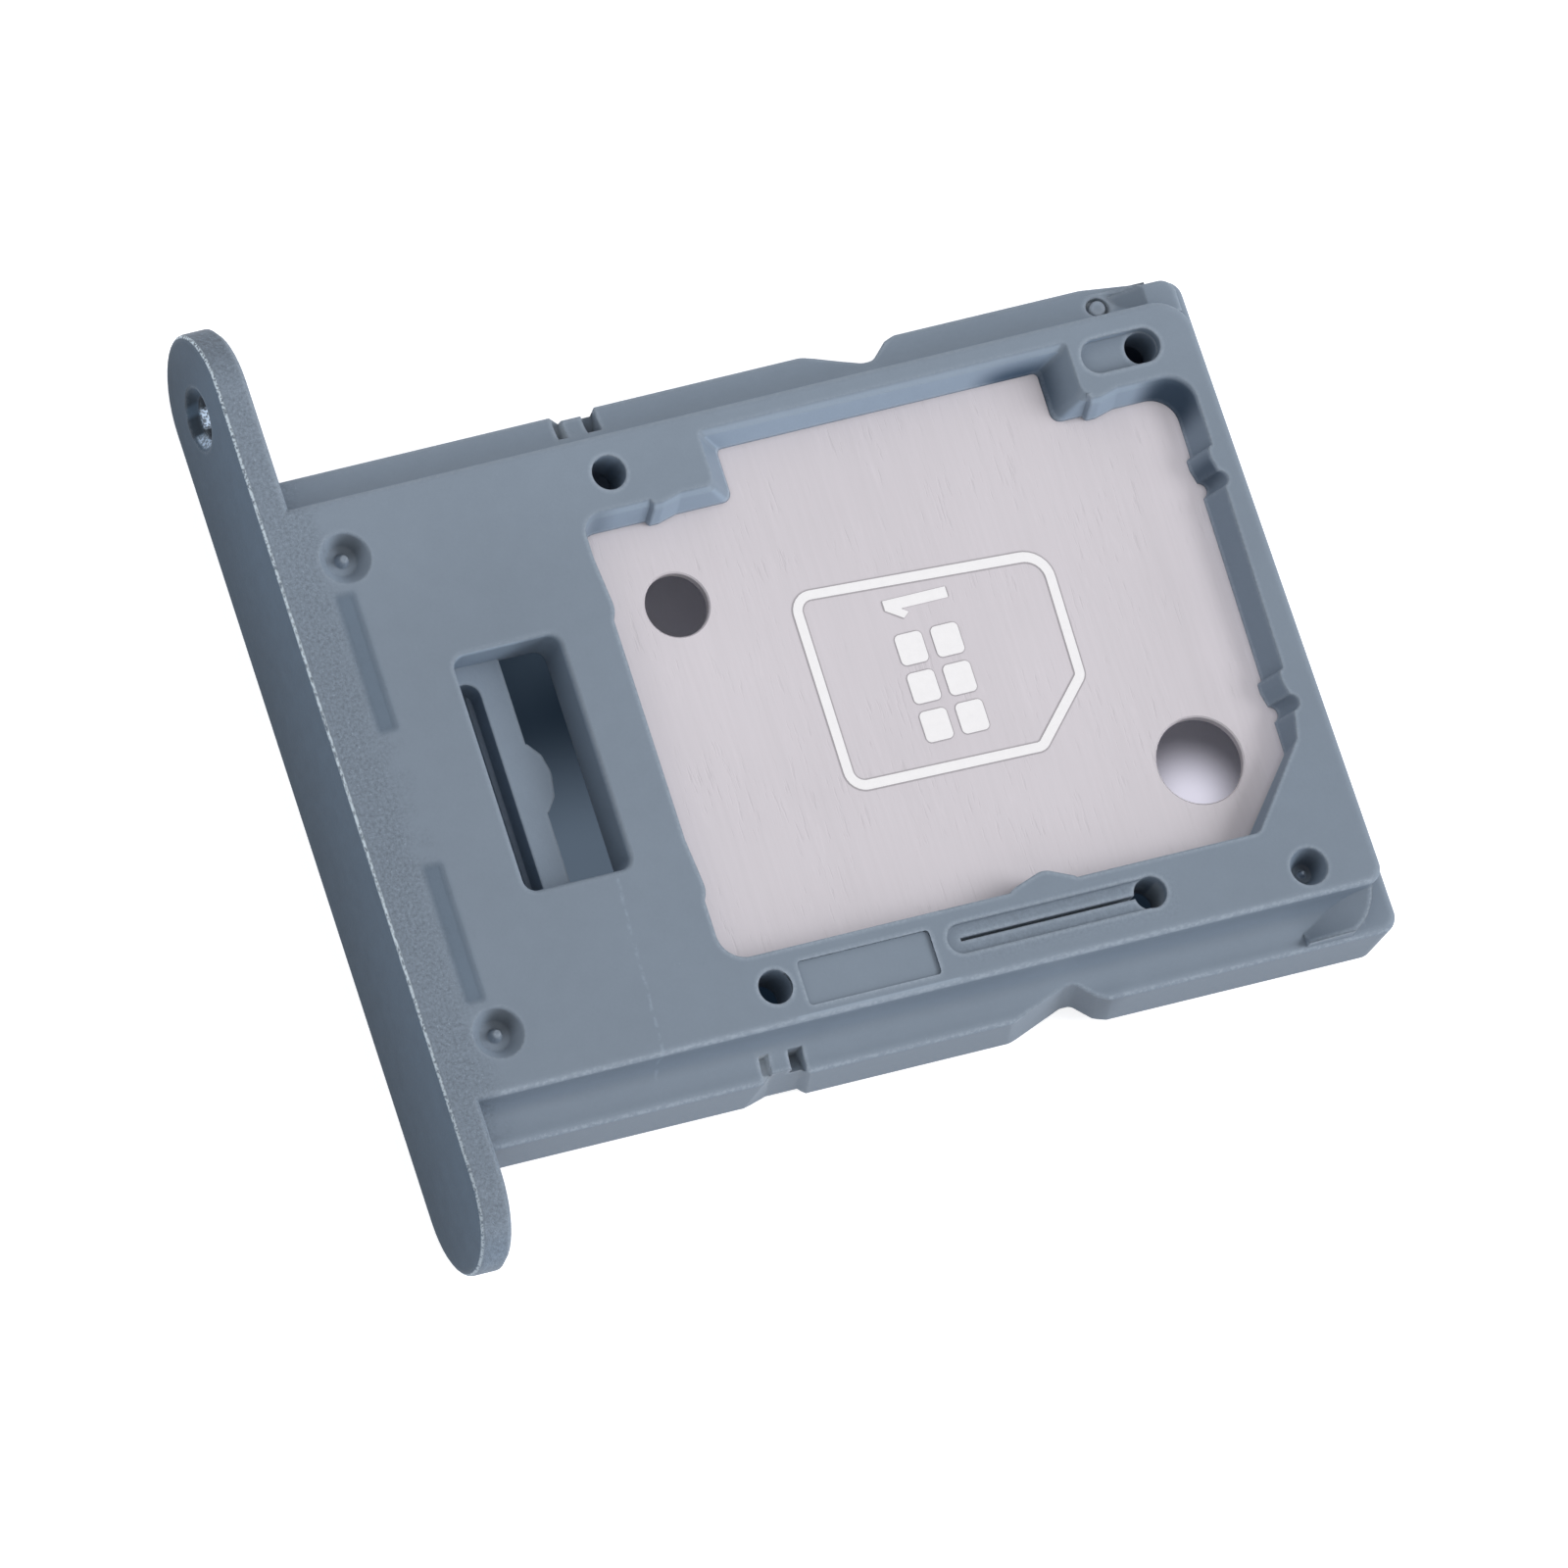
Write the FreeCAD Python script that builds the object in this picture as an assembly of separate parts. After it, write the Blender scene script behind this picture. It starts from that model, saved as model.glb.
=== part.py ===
import FreeCAD, Part
import math
import os

# Card tray for a phone
# Working datum: X runs from the outer face of the door to the far end,
# Y is measured from the centre line of the tray body, Z from its underside.
# The finished pieces are moved to the middle of their common footprint.

# Door
door_thickness = 0.66
door_height = 3.0
door_reach_high = 10.18
door_reach_low = 9.0
door_front_round = 0.1
door_back_bevel = 0.1
pin_y = 8.52
pin_z = 1.5
pin_radius = 0.42
pin_mouth_radius = 0.64
pin_mouth_depth = 0.2

# Body levels
body_top = 3.0
ledge_level = 2.04
rail_bottom = 0.27
foot_level = 0.0

# Upper layer and the side rails that stand out past it
layer_half_width = 6.06
ledge_width = 0.79
rail_half_width = layer_half_width + ledge_width
rail_end_low = 19.9
rail_end_high = 19.68
rail_corner_radius = 0.36
rail_lead_start = 17.7
rail_lead_depth = 0.25
rail_edge_round = 0.16
rail_edge_bevel = 0.06
layer_end_low = 19.56
layer_end_high = 19.32
layer_corner_low = 0.35
layer_corner_high = 0.75
layer_edge_round = 0.14
foot_edge_bevel = 0.06
join_overlap = 0.2
gusset_radius = 0.25

# Both side notches lean towards the far end going down
notch_lean = 0.41

# Small side notch: inset face with a narrow sloping slot at either end
small_notch_start = 6.6
small_notch_end = 7.54
small_notch_inset = 0.14
small_notch_low_entry = 0.37
small_notch_slot_start = 6.6
small_notch_slot_width = 0.19
small_notch_far_slot_start = 7.2
small_notch_far_slot_width = 0.3
small_notch_slot_reach = 0.52
small_notch_slot_deep = 0.5
small_notch_faint_slot_deep = 0.22
small_notch_slot_shallow = 0.1
cove_clearance = 0.6

# Large side notch: long ramp, steep exit
large_notch_start = 11.78
large_notch_deep_from = 12.98
large_notch_deep_to = 13.2
large_notch_steep_to = 13.55
large_notch_end = 13.82
large_notch_depth = 0.44
large_notch_steep_rest = 0.11
large_notch_start_radius = 0.4
large_notch_deep_radius = 0.2
large_notch_end_radius = 0.15
large_notch_run_out = 0.5

# Upper card pocket
pocket_depth = 0.68
pocket_x_start = 6.23
pocket_x_end = 18.67
pocket_y_low = -4.587
pocket_y_high = 4.327
recess_x_start = 9.52
recess_x_end = 16.2
recess_y_high = 5.37
bevel_x = 17.29
bevel_end_x = 18.61
bevel_end_y = -3.06
pocket_corner_radius = 0.55
pocket_near_radius = 0.4
bevel_radius = 0.2
bevel_end_radius = 0.12
recess_mouth_radius = 0.2
recess_corner_radius = 0.1
wall_slope = 0.26
recess_slope = 0.32
recess_slope_start = 0.5
recess_slope_end = 0.52
bevel_slope = 0.1
wall_edge_level = 2.86
wall_edge_share = 0.6

# Retaining nubs of the upper pocket
nub_height = 0.1
nub_ramp = 1.05
nub_drop = 0.2
nub_radius = 0.5
nub_high_y = 2.64
nub_low_y = -3.12
lip_start_x = 12.05
lip_peak_x = 12.95
lip_end_x = 13.62
lip_height = 0.3
lip_radius = 0.4
rib_height = 0.1
rib_steep = 0.06
rib_crest = 0.25
rib_run = 0.65
rib_radius = 0.05
side_ribs = (7.68, 16.8)
end_ribs = (3.05, -1.55)
scoop_radius = 0.17
scoop_offset = 0.7
scoop_depth = 0.1

# Metal sheet between the two card spaces
sheet_thickness = 0.2
sheet_border = 0.34
sheet_x_start = 5.8
sheet_x_end = 19.0
sheet_y_low = -4.85
sheet_y_high = 4.8
sheet_bevel_shift = 0.2
sheet_corner_radius = 0.2
pilot_small_x = 7.79
pilot_small_y = 2.6
pilot_small_radius = 0.637
pilot_large_x = 16.94
pilot_large_y = -2.78
pilot_large_radius = 0.867
pilot_edge_chamfer = 0.03

# Underside card space
under_x_start = 4.09
under_length = 15.1
under_width = 11.3
under_near_radius = 0.2
under_corner_radius = 0.5
rim_thickness = 0.25
rim_inset = 0.45
rim_corner_radius = 0.5

# Window and spring arm
window_x_start = 2.87
window_x_end = 5.06
window_y_low = -2.33
window_y_high = 2.46
window_radius = 0.24
window_edge_round = 0.1
arm_x_start = 3.53
arm_bulge_height = 0.33
arm_bulge_radius = 0.5
arm_bulge_shoulder_height = 0.24
arm_bulge_shoulder_radius = 0.12
arm_bulge_shoulder_high = 0.43
arm_bulge_shoulder_low = -0.42
arm_bulge_root = 0.03
arm_bulge_chamfer = 0.3
arm_bulge_start = 0.7
arm_bulge_peak = 0.05
arm_bulge_end = -0.7
arm_foot_width = 0.11
arm_foot_level = 1.43
slot_x_start = 2.95
slot_y_low = -2.25
slot_y_high = 2.12
slot_low_radius = 0.1

# Round features of the top face
pair_hole_x = 7.06
pair_hole_y = 5.28
pair_hole_radius = 0.345
dimple_x = 1.43
dimple_y = 4.865
dimple_radius = 0.52
dimple_floor_radius = 0.3
dimple_depth = 0.24
dimple_pip_radius = 0.15
dimple_pip_height = 0.15
cone_x = 18.13
cone_y = -5.46
cone_radius = 0.38
cone_floor_radius = 0.2
cone_depth = 0.55
cone_pip_radius = 0.07
cone_pip_height = 0.12

# Corner slot with a through hole
corner_slot_x = 17.27
corner_slot_end_x = 18.21
corner_slot_y = 5.26
corner_slot_radius = 0.345
corner_slot_depth = 0.22
corner_hole_radius = 0.32

# Long shallow channel with a slit and a hole
channel_x = 10.96
channel_end_x = 14.91
channel_y = -5.22
channel_radius = 0.3
channel_depth = 0.1
channel_hole_radius = 0.32
slit_width = 0.07
slit_depth = 0.45

# Shallow soft grooves beside the door
soft_groove_x = 1.2
soft_groove_width = 0.44
soft_groove_depth = 0.05
soft_groove_from = 1.32
soft_groove_to = 4.22
soft_groove_radius = 0.12
soft_groove_slope = 0.11

# Sunken plaque
plaque_x_start = 7.61
plaque_x_end = 10.36
plaque_y_low = -5.8
plaque_y_high = -4.9
plaque_depth = 0.06
plaque_radius = 0.08

# Ledge details at the far end
end_block_setback = 0.28
end_block_end = rail_end_high - end_block_setback
end_block_flat = 0.65
end_block_rise = 0.65
end_block_crest = end_block_end - end_block_flat
end_block_start = end_block_crest - end_block_rise
end_block_level = 2.5
end_block_inset = 0.29
end_block_radius = 0.3
end_block_round = 0.1
ramp_start = 17.94
ramp_end = 19.4
ramp_low = 2.3
ramp_low_shoulder = 2.06
ramp_low_inner = 2.6
ramp_inset = 0.08
ramp_outer_level = 2.46
ramp_shoulder_inset = 0.35
ramp_shoulder_level = 2.48
ramp_inner_level = 2.92
ramp_nose_x = 19.36
ramp_nose_radius = 0.85
post_x = 17.88
post_inset = 0.475
post_radius = 0.15
post_level = 2.12
post_well_radius = 0.23
post_well_depth = 0.2

# Working allowances for cuts and joins
through = 1.0
tolerance = 0.001


def vector(x, y, z=0.0):
    return FreeCAD.Vector(x, y, z)


def outline(corners, z):
    """Closed wire through corners given as (x, y, radius)."""
    count = len(corners)
    starts = []
    edges = []
    for index in range(count):
        x, y, radius = corners[index]
        here = vector(x, y, z)
        before = vector(corners[index - 1][0], corners[index - 1][1], z)
        after = vector(corners[(index + 1) % count][0], corners[(index + 1) % count][1], z)
        back = (before - here).normalize()
        ahead = (after - here).normalize()
        if radius <= 0.0:
            starts.append((here, here, None))
            continue
        half = back.getAngle(ahead) / 2.0
        run = radius / math.tan(half)
        first = here + back * run
        last = here + ahead * run
        middle = (back + ahead).normalize()
        centre = here + middle * (radius / math.sin(half))
        mid = centre - middle * radius
        starts.append((first, last, mid))
    for index in range(count):
        first, last, mid = starts[index]
        following = starts[(index + 1) % count][0]
        if mid is not None:
            edges.append(Part.Arc(first, mid, last).toShape())
        edges.append(Part.makeLine(last, following))
    return Part.Wire(edges)


def prism(corners, bottom, top):
    """Upright solid over a rounded outline."""
    face = Part.Face(outline(corners, bottom))
    return face.extrude(vector(0.0, 0.0, top - bottom))


def ring(corners, side):
    """The same outline mirrored to the other side of the centre line when side is -1."""
    return [(x, side * y, radius) for x, y, radius in corners]


def upright(x, y, radius, bottom, top):
    return Part.makeCylinder(radius, top - bottom, vector(x, y, bottom))


def stadium(slot, bottom, top):
    """Round-ended upright solid lying along X between two end centres."""
    x_from, x_to, y, radius = slot
    corner = radius - tolerance
    corners = [
        (x_from - radius, y - radius, corner),
        (x_to + radius, y - radius, corner),
        (x_to + radius, y + radius, corner),
        (x_from - radius, y + radius, corner),
    ]
    return prism(corners, bottom, top)


def edges_at(shape, level):
    """Edges lying wholly at one height."""
    found = []
    for edge in shape.Edges:
        box = edge.BoundBox
        if abs(box.ZMin - level) < tolerance and abs(box.ZMax - level) < tolerance:
            found.append(edge)
    return found


def door():
    """Face plate with round ends, softened edges and the countersunk pin hole."""
    radius = door_height / 2.0
    high = door_reach_high - radius
    low = -door_reach_low + radius
    top = vector(0.0, high, door_height)
    base = vector(0.0, low, foot_level)
    edges = [
        Part.makeLine(vector(0.0, low, door_height), top),
        Part.Arc(top, vector(0.0, door_reach_high, radius), vector(0.0, high, foot_level)).toShape(),
        Part.makeLine(vector(0.0, high, foot_level), base),
        Part.Arc(base, vector(0.0, -door_reach_low, radius), vector(0.0, low, door_height)).toShape(),
    ]
    plate = Part.Face(Part.Wire(edges)).extrude(vector(door_thickness, 0.0, 0.0))
    front = [edge for edge in plate.Edges if edge.BoundBox.XMax < tolerance]
    plate = plate.makeFillet(door_front_round, front)
    back = [edge for edge in plate.Edges if edge.BoundBox.XMin > door_thickness - tolerance]
    plate = plate.makeChamfer(door_back_bevel, back)
    along = vector(1.0, 0.0, 0.0)
    start = vector(-through, pin_y, pin_z)
    hole = Part.makeCylinder(pin_radius, door_thickness + 2.0 * through, start, along)
    mouth_at = vector(0.0, pin_y, pin_z)
    mouth = Part.makeCone(pin_mouth_radius, pin_radius, pin_mouth_depth, mouth_at, along)
    return plate.cut(hole).cut(mouth)


def rail_corners():
    """Plan of the rail layer."""
    start = door_thickness - join_overlap
    half = rail_half_width
    return [
        (start, -half, 0.0),
        (rail_end_low, -half, rail_corner_radius),
        (rail_end_high, half - rail_lead_depth, rail_corner_radius),
        (rail_lead_start, half, 1.0),
        (start, half, 0.0),
    ]


def notch(corners, side):
    """Leaning cut in one rail: corners run along X as (x at the ledge, x low down, y, radius)."""
    outer = rail_half_width + through
    plans = []
    for column, level in ((1, rail_bottom - through), (0, body_top)):
        edge = [(corner[column], corner[2], corner[3]) for corner in corners]
        plan = edge + [(edge[-1][0], outer, 0.0), (edge[0][0], outer, 0.0)]
        plans.append(outline(ring(plan, side), level))
    return Part.makeLoft(plans, True, True)


def leaning(x, early=0.0):
    """The two places of a notch corner: where its wall meets the body's top plane and far below.

    The wall passes through x at the ledge and, at the rail's bottom, lies further along by
    the lean less the early entry.
    """
    slope = (notch_lean - early) / (ledge_level - rail_bottom)
    return (x - slope * (body_top - ledge_level), x + slope * (ledge_level - rail_bottom + through))


def notches():
    """Both side notches of both rails."""
    clear = rail_half_width + tolerance
    inset = rail_half_width - small_notch_inset
    deep = rail_half_width - large_notch_depth
    steep = rail_half_width - large_notch_steep_rest
    small = [
        leaning(small_notch_start, small_notch_low_entry) + (clear, 0.0),
        leaning(small_notch_start + small_notch_inset) + (inset, 0.0),
        leaning(small_notch_end - small_notch_inset) + (inset, 0.0),
        leaning(small_notch_end) + (clear, 0.0),
    ]
    large = [
        leaning(large_notch_start - large_notch_run_out) + (clear, 0.0),
        leaning(large_notch_start) + (clear, large_notch_start_radius),
        leaning(large_notch_deep_from) + (deep, large_notch_deep_radius),
        leaning(large_notch_deep_to) + (deep, large_notch_deep_radius),
        leaning(large_notch_steep_to) + (steep, large_notch_end_radius),
        leaning(large_notch_end) + (clear, large_notch_end_radius),
        leaning(large_notch_end + large_notch_run_out) + (clear, 0.0),
    ]
    return [notch(corners, side) for corners in (small, large) for side in (-1.0, 1.0)]


def layer_corners():
    """Plan of the upper and lower layers, narrower than the rails."""
    start = door_thickness - join_overlap
    return [
        (start, -layer_half_width, 0.0),
        (layer_end_low, -layer_half_width, layer_corner_low),
        (layer_end_high, layer_half_width, layer_corner_high),
        (start, layer_half_width, 0.0),
    ]


def past_door(edges):
    """Only the edges that reach beyond the back of the door."""
    return [edge for edge in edges if edge.BoundBox.XMax > door_thickness]


def ledge_coves():
    """Hollow curves between the ledges and the sides of the upper layer."""
    width = ledge_width - rail_edge_round
    drop = width * math.sqrt(0.5)
    pieces = []
    for side in (-1.0, 1.0):
        inner = side * (layer_half_width - join_overlap)
        wall = side * layer_half_width
        edge = side * (layer_half_width + width)
        bend = side * (layer_half_width + width - drop)
        start = door_thickness - join_overlap
        high = ledge_level + width
        low = vector(start, edge, ledge_level)
        middle = vector(start, bend, high - drop)
        top = vector(start, wall, high)
        sides = [
            Part.Arc(low, middle, top).toShape(),
            Part.makeLine(top, vector(start, inner, high)),
            Part.makeLine(vector(start, inner, high), vector(start, inner, ledge_level)),
            Part.makeLine(vector(start, inner, ledge_level), low),
        ]
        length = (layer_end_low if side < 0.0 else layer_end_high) - layer_corner_low - start
        pieces.append(Part.Face(Part.Wire(sides)).extrude(vector(length, 0.0, 0.0)))
    return pieces


def block():
    """Rails with the upper and lower layers, rounded edges and coved ledges."""
    rails = prism(rail_corners(), rail_bottom, ledge_level)
    rails = rails.makeFillet(rail_edge_round, past_door(edges_at(rails, ledge_level)))
    rails = rails.makeChamfer(rail_edge_bevel, past_door(edges_at(rails, rail_bottom)))
    upper = prism(layer_corners(), ledge_level - join_overlap, body_top)
    upper = upper.makeFillet(layer_edge_round, past_door(edges_at(upper, body_top)))
    lower = prism(layer_corners(), foot_level, rail_bottom + join_overlap)
    lower = lower.makeChamfer(foot_edge_bevel, past_door(edges_at(lower, foot_level)))
    return rails.fuse([upper, lower] + ledge_coves()).removeSplitter()


def gussets():
    """Rounded inner corners where the sides of the rails meet the door."""
    pieces = []
    bend = gusset_radius * (1.0 - math.sqrt(0.5))
    level = rail_bottom + rail_edge_bevel
    for side in (-1.0, 1.0):
        edge = side * (rail_half_width - tolerance)
        reach = side * gusset_radius
        root = vector(door_thickness - join_overlap, edge, level)
        along = vector(door_thickness + gusset_radius, edge, level)
        bent = vector(door_thickness + bend, edge + side * bend, level)
        out = vector(door_thickness, edge + reach, level)
        back = vector(door_thickness - join_overlap, edge + reach, level)
        sides = [
            Part.makeLine(root, along),
            Part.Arc(along, bent, out).toShape(),
            Part.makeLine(out, back),
            Part.makeLine(back, root),
        ]
        height = ledge_level - rail_edge_round - level
        pieces.append(Part.Face(Part.Wire(sides)).extrude(vector(0.0, 0.0, height)))
    return pieces


def notch_slots():
    """Narrow slots at both ends of the small side notches, deepest beside the body."""
    near = (small_notch_slot_start, small_notch_slot_width)
    far = (small_notch_far_slot_start, small_notch_far_slot_width)
    slots = (
        (near, -1.0, small_notch_faint_slot_deep),
        (near, 1.0, small_notch_slot_deep),
        (far, -1.0, small_notch_slot_deep),
        (far, 1.0, small_notch_slot_deep),
    )
    inner = rail_half_width - small_notch_slot_reach
    outer = rail_half_width
    above = ledge_level + cove_clearance
    pieces = []
    for (start, width), side, deep in slots:
        profile = [
            vector(start, side * inner, above),
            vector(start, side * inner, ledge_level - deep),
            vector(start, side * outer, ledge_level - small_notch_slot_shallow),
            vector(start, side * outer, above),
        ]
        face = Part.Face(Part.makePolygon(profile + profile[:1]))
        pieces.append(face.extrude(vector(width, 0.0, 0.0)))
    return pieces


def end_wall_x(y):
    """Place of the pocket's far wall at the metal sheet."""
    share = (y - bevel_end_y) / (pocket_y_high - bevel_end_y)
    return bevel_end_x + share * (pocket_x_end - bevel_end_x)


def rib_outline():
    """Corners of a wall rib as (run along the wall, height, radius), ending at its steep side."""
    return [
        (rib_run, 0.0, 0.0),
        (rib_crest, rib_height, rib_radius),
        (rib_steep, rib_height, rib_radius),
        (0.0, 0.0, 0.0),
    ]


def end_rib(start):
    """Corners of a rib on the far wall, running back down Y from its steep side."""
    rib = []
    for run, height, radius in rib_outline():
        y = start - run
        rib.append((end_wall_x(y) - height, y, radius, wall_slope, 0.0))
    return rib


def side_rib(start):
    """Corners of a rib on the high side wall, running on along X from its steep side."""
    rib = []
    for run, height, radius in rib_outline():
        rib.append((start + run, pocket_y_high - height, radius, 0.0, wall_slope))
    return rib


def pocket_plan():
    """Corners of the upper pocket at the metal sheet as (x, y, radius, lean along x, lean along y)."""
    low = pocket_y_low
    high = pocket_y_high
    near_rib, far_rib = side_ribs
    upper_rib, lower_rib = end_ribs
    plan = [
        (pocket_x_start, low, pocket_corner_radius, 0.0, 0.0),
        (bevel_x, low, bevel_radius, bevel_slope, 0.0),
        (bevel_end_x, bevel_end_y, bevel_end_radius, bevel_slope, bevel_slope),
    ]
    plan += end_rib(lower_rib) + end_rib(upper_rib)
    plan.append((pocket_x_end, high, pocket_corner_radius, wall_slope, wall_slope))
    plan += side_rib(far_rib)
    plan += [
        (recess_x_end, high, recess_mouth_radius, recess_slope_end, wall_slope),
        (recess_x_end, recess_y_high, recess_corner_radius, recess_slope_end, recess_slope),
        (recess_x_start, recess_y_high, recess_corner_radius, -recess_slope_start, recess_slope),
        (recess_x_start, high, recess_mouth_radius, -recess_slope_start, wall_slope),
    ]
    plan += side_rib(near_rib)
    plan.append((pocket_x_start, high, pocket_near_radius, 0.0, wall_slope))
    return plan


def upper_pocket():
    """Upper card pocket: leaning walls, the high side with a softer band along its top edge."""
    floor = body_top - pocket_depth
    edge_share = (wall_edge_level - floor) / pocket_depth
    levels = ((floor, 0.0, 0.0), (wall_edge_level, edge_share, wall_edge_share), (body_top, 1.0, 1.0))
    plans = []
    for level, share, high_share in levels:
        corners = []
        for x, y, radius, lean_x, lean_y in pocket_plan():
            part = high_share if y > 0.0 else share
            corners.append((x + lean_x * share, y + lean_y * part, radius))
        plans.append(corners)
    wires = [outline(corners, level[0]) for corners, level in zip(plans, levels)]
    return [Part.makeLoft(wires, True, True), prism(plans[-1], body_top, body_top + through)]


def wall_scoops():
    """Small round hollows up the far wall beside its ribs."""
    along = vector(wall_slope, 0.0, pocket_depth)
    length = along.Length + join_overlap
    pieces = []
    for start in end_ribs:
        y = start - scoop_offset
        foot = vector(end_wall_x(y) + scoop_depth - scoop_radius, y, body_top - pocket_depth)
        pieces.append(Part.makeCylinder(scoop_radius, length, foot, along))
    return pieces


def pocket_nubs():
    """Retaining bumps on the walls of the upper pocket."""
    floor = body_top - pocket_depth
    behind = pocket_x_start - join_overlap
    pieces = []
    for peak in (nub_high_y, nub_low_y):
        bump = [
            (behind, peak - nub_drop, 0.0),
            (pocket_x_start, peak - nub_drop, 0.0),
            (pocket_x_start + nub_height, peak, nub_radius),
            (pocket_x_start, peak + nub_ramp, 0.0),
            (behind, peak + nub_ramp, 0.0),
        ]
        pieces.append(prism(bump, floor, body_top))
    lip = [
        (lip_start_x, pocket_y_low - join_overlap, 0.0),
        (lip_end_x, pocket_y_low - join_overlap, 0.0),
        (lip_end_x, pocket_y_low, lip_radius / 2.0),
        (lip_peak_x, pocket_y_low + lip_height, lip_radius),
        (lip_start_x, pocket_y_low, lip_radius),
    ]
    pieces.append(prism(lip, floor, body_top))
    return pieces


def separator_sheet():
    """Thin metal sheet between the two card spaces, with its two pilot holes."""
    top = body_top - pocket_depth
    bottom = top - sheet_thickness
    corners = [
        (sheet_x_start, sheet_y_low, sheet_corner_radius),
        (bevel_x + sheet_bevel_shift, sheet_y_low, sheet_corner_radius),
        (sheet_x_end, bevel_end_y - sheet_bevel_shift, sheet_corner_radius),
        (sheet_x_end, sheet_y_high, sheet_corner_radius),
        (recess_x_end + sheet_border, sheet_y_high, 0.0),
        (recess_x_end + sheet_border, recess_y_high + sheet_border, sheet_corner_radius),
        (recess_x_start - sheet_border, recess_y_high + sheet_border, sheet_corner_radius),
        (recess_x_start - sheet_border, sheet_y_high, 0.0),
        (sheet_x_start, sheet_y_high, sheet_corner_radius),
    ]
    sheet = prism(corners, bottom, top)
    pilots = (
        (pilot_small_x, pilot_small_y, pilot_small_radius),
        (pilot_large_x, pilot_large_y, pilot_large_radius),
    )
    rims = []
    for x, y, radius in pilots:
        sheet = sheet.cut(upright(x, y, radius, bottom - through, top + through))
        spread = radius + pilot_edge_chamfer
        mouth = vector(x, y, top - pilot_edge_chamfer)
        rims.append(Part.makeCone(radius, spread, pilot_edge_chamfer, mouth))
    return sheet.cut(rims)


def lower_pocket():
    """Underside card space, the opening above it in the rim, and the window beside it."""
    half = under_width / 2.0
    end = under_x_start + under_length
    space = [
        (under_x_start, -half, under_near_radius),
        (end, -half, under_corner_radius),
        (end, half, under_corner_radius),
        (under_x_start, half, under_near_radius),
    ]
    ceiling = body_top - pocket_depth - sheet_thickness - rim_thickness
    opening = [
        (pocket_x_start + rim_inset, pocket_y_low + rim_inset, rim_corner_radius),
        (bevel_x - rim_inset, pocket_y_low + rim_inset, rim_corner_radius),
        (bevel_end_x - rim_inset, bevel_end_y, rim_corner_radius),
        (bevel_end_x - rim_inset, pocket_y_high - rim_inset, rim_corner_radius),
        (pocket_x_start + rim_inset, pocket_y_high - rim_inset, rim_corner_radius),
    ]
    floor = body_top - pocket_depth
    return [
        prism(space, foot_level - through, ceiling),
        prism(opening, ceiling - tolerance, floor + tolerance),
    ]


def window():
    """Opening through the upper layer with the slot that frees the spring arm."""
    low = window_y_low
    high = window_y_high
    mouth = [
        (window_x_start, low, window_radius),
        (window_x_end, low, window_radius),
        (window_x_end, high, window_radius),
        (window_x_start, high, window_radius),
    ]
    well = [
        (under_x_start, low, tolerance),
        (window_x_end, low, window_radius),
        (window_x_end, high, window_radius),
        (under_x_start, high, tolerance),
    ]
    slot_radius = (arm_x_start - slot_x_start) / 2.0 - tolerance
    slot = [
        (slot_x_start, slot_y_low, slot_low_radius),
        (arm_x_start, slot_y_low, slot_low_radius),
        (arm_x_start, slot_y_high, slot_radius),
        (slot_x_start, slot_y_high, slot_radius),
    ]
    return [
        prism(mouth, ledge_level, body_top + through),
        prism(well, foot_level + through, body_top),
        prism(slot, foot_level - through, body_top),
    ]


def arm_foot():
    """Step along the lower part of the spring arm, inside its slot."""
    corner = vector(arm_x_start - arm_foot_width, slot_y_low, foot_level)
    length = slot_y_high - slot_y_low
    return Part.makeBox(arm_foot_width + join_overlap, length, arm_foot_level, corner)


def arm_bulge():
    """Contact bulge of the spring arm, facing the underside card space."""
    behind = under_x_start - join_overlap
    shoulder = under_x_start + arm_bulge_shoulder_height
    bulge = [
        (behind, arm_bulge_end, 0.0),
        (under_x_start + arm_bulge_root, arm_bulge_end, 0.0),
        (shoulder, arm_bulge_shoulder_low, arm_bulge_shoulder_radius),
        (under_x_start + arm_bulge_height, arm_bulge_peak, arm_bulge_radius),
        (shoulder, arm_bulge_shoulder_high, arm_bulge_shoulder_radius),
        (under_x_start + arm_bulge_root, arm_bulge_start, 0.0),
        (behind, arm_bulge_start, 0.0),
    ]
    return prism(bulge, foot_level + arm_bulge_chamfer, ledge_level)


def round_features():
    """Holes, dimples and the slots of the top face."""
    top = body_top
    pieces = []
    for side in (-1.0, 1.0):
        y = side * pair_hole_y
        pieces.append(upright(pair_hole_x, y, pair_hole_radius, foot_level - through, top + through))
        y = side * dimple_y
        at = vector(dimple_x, y, top - dimple_depth)
        bowl = Part.makeCone(dimple_floor_radius, dimple_radius, dimple_depth, at)
        pip = Part.makeCone(dimple_pip_radius, dimple_pip_radius / 2.0, dimple_pip_height, at)
        pieces.append(bowl.cut(pip))
    at = vector(cone_x, cone_y, top - cone_depth)
    bowl = Part.makeCone(cone_floor_radius, cone_radius, cone_depth, at)
    pip = Part.makeCone(cone_pip_radius, cone_pip_radius / 2.0, cone_pip_height, at)
    pieces.append(bowl.cut(pip))
    slot = (corner_slot_x, corner_slot_end_x, corner_slot_y, corner_slot_radius)
    pieces.append(stadium(slot, top - corner_slot_depth, top + through))
    pieces.append(upright(corner_slot_end_x, corner_slot_y, corner_hole_radius, foot_level - through, top))
    slot = (channel_x, channel_end_x, channel_y, channel_radius)
    pieces.append(stadium(slot, top - channel_depth, top + through))
    pieces.append(upright(channel_end_x, channel_y, channel_hole_radius, foot_level - through, top))
    corner = vector(channel_x, channel_y - slit_width / 2.0, top - slit_depth)
    pieces.append(Part.makeBox(channel_end_x - channel_x, slit_width, slit_depth, corner))
    return pieces


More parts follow.
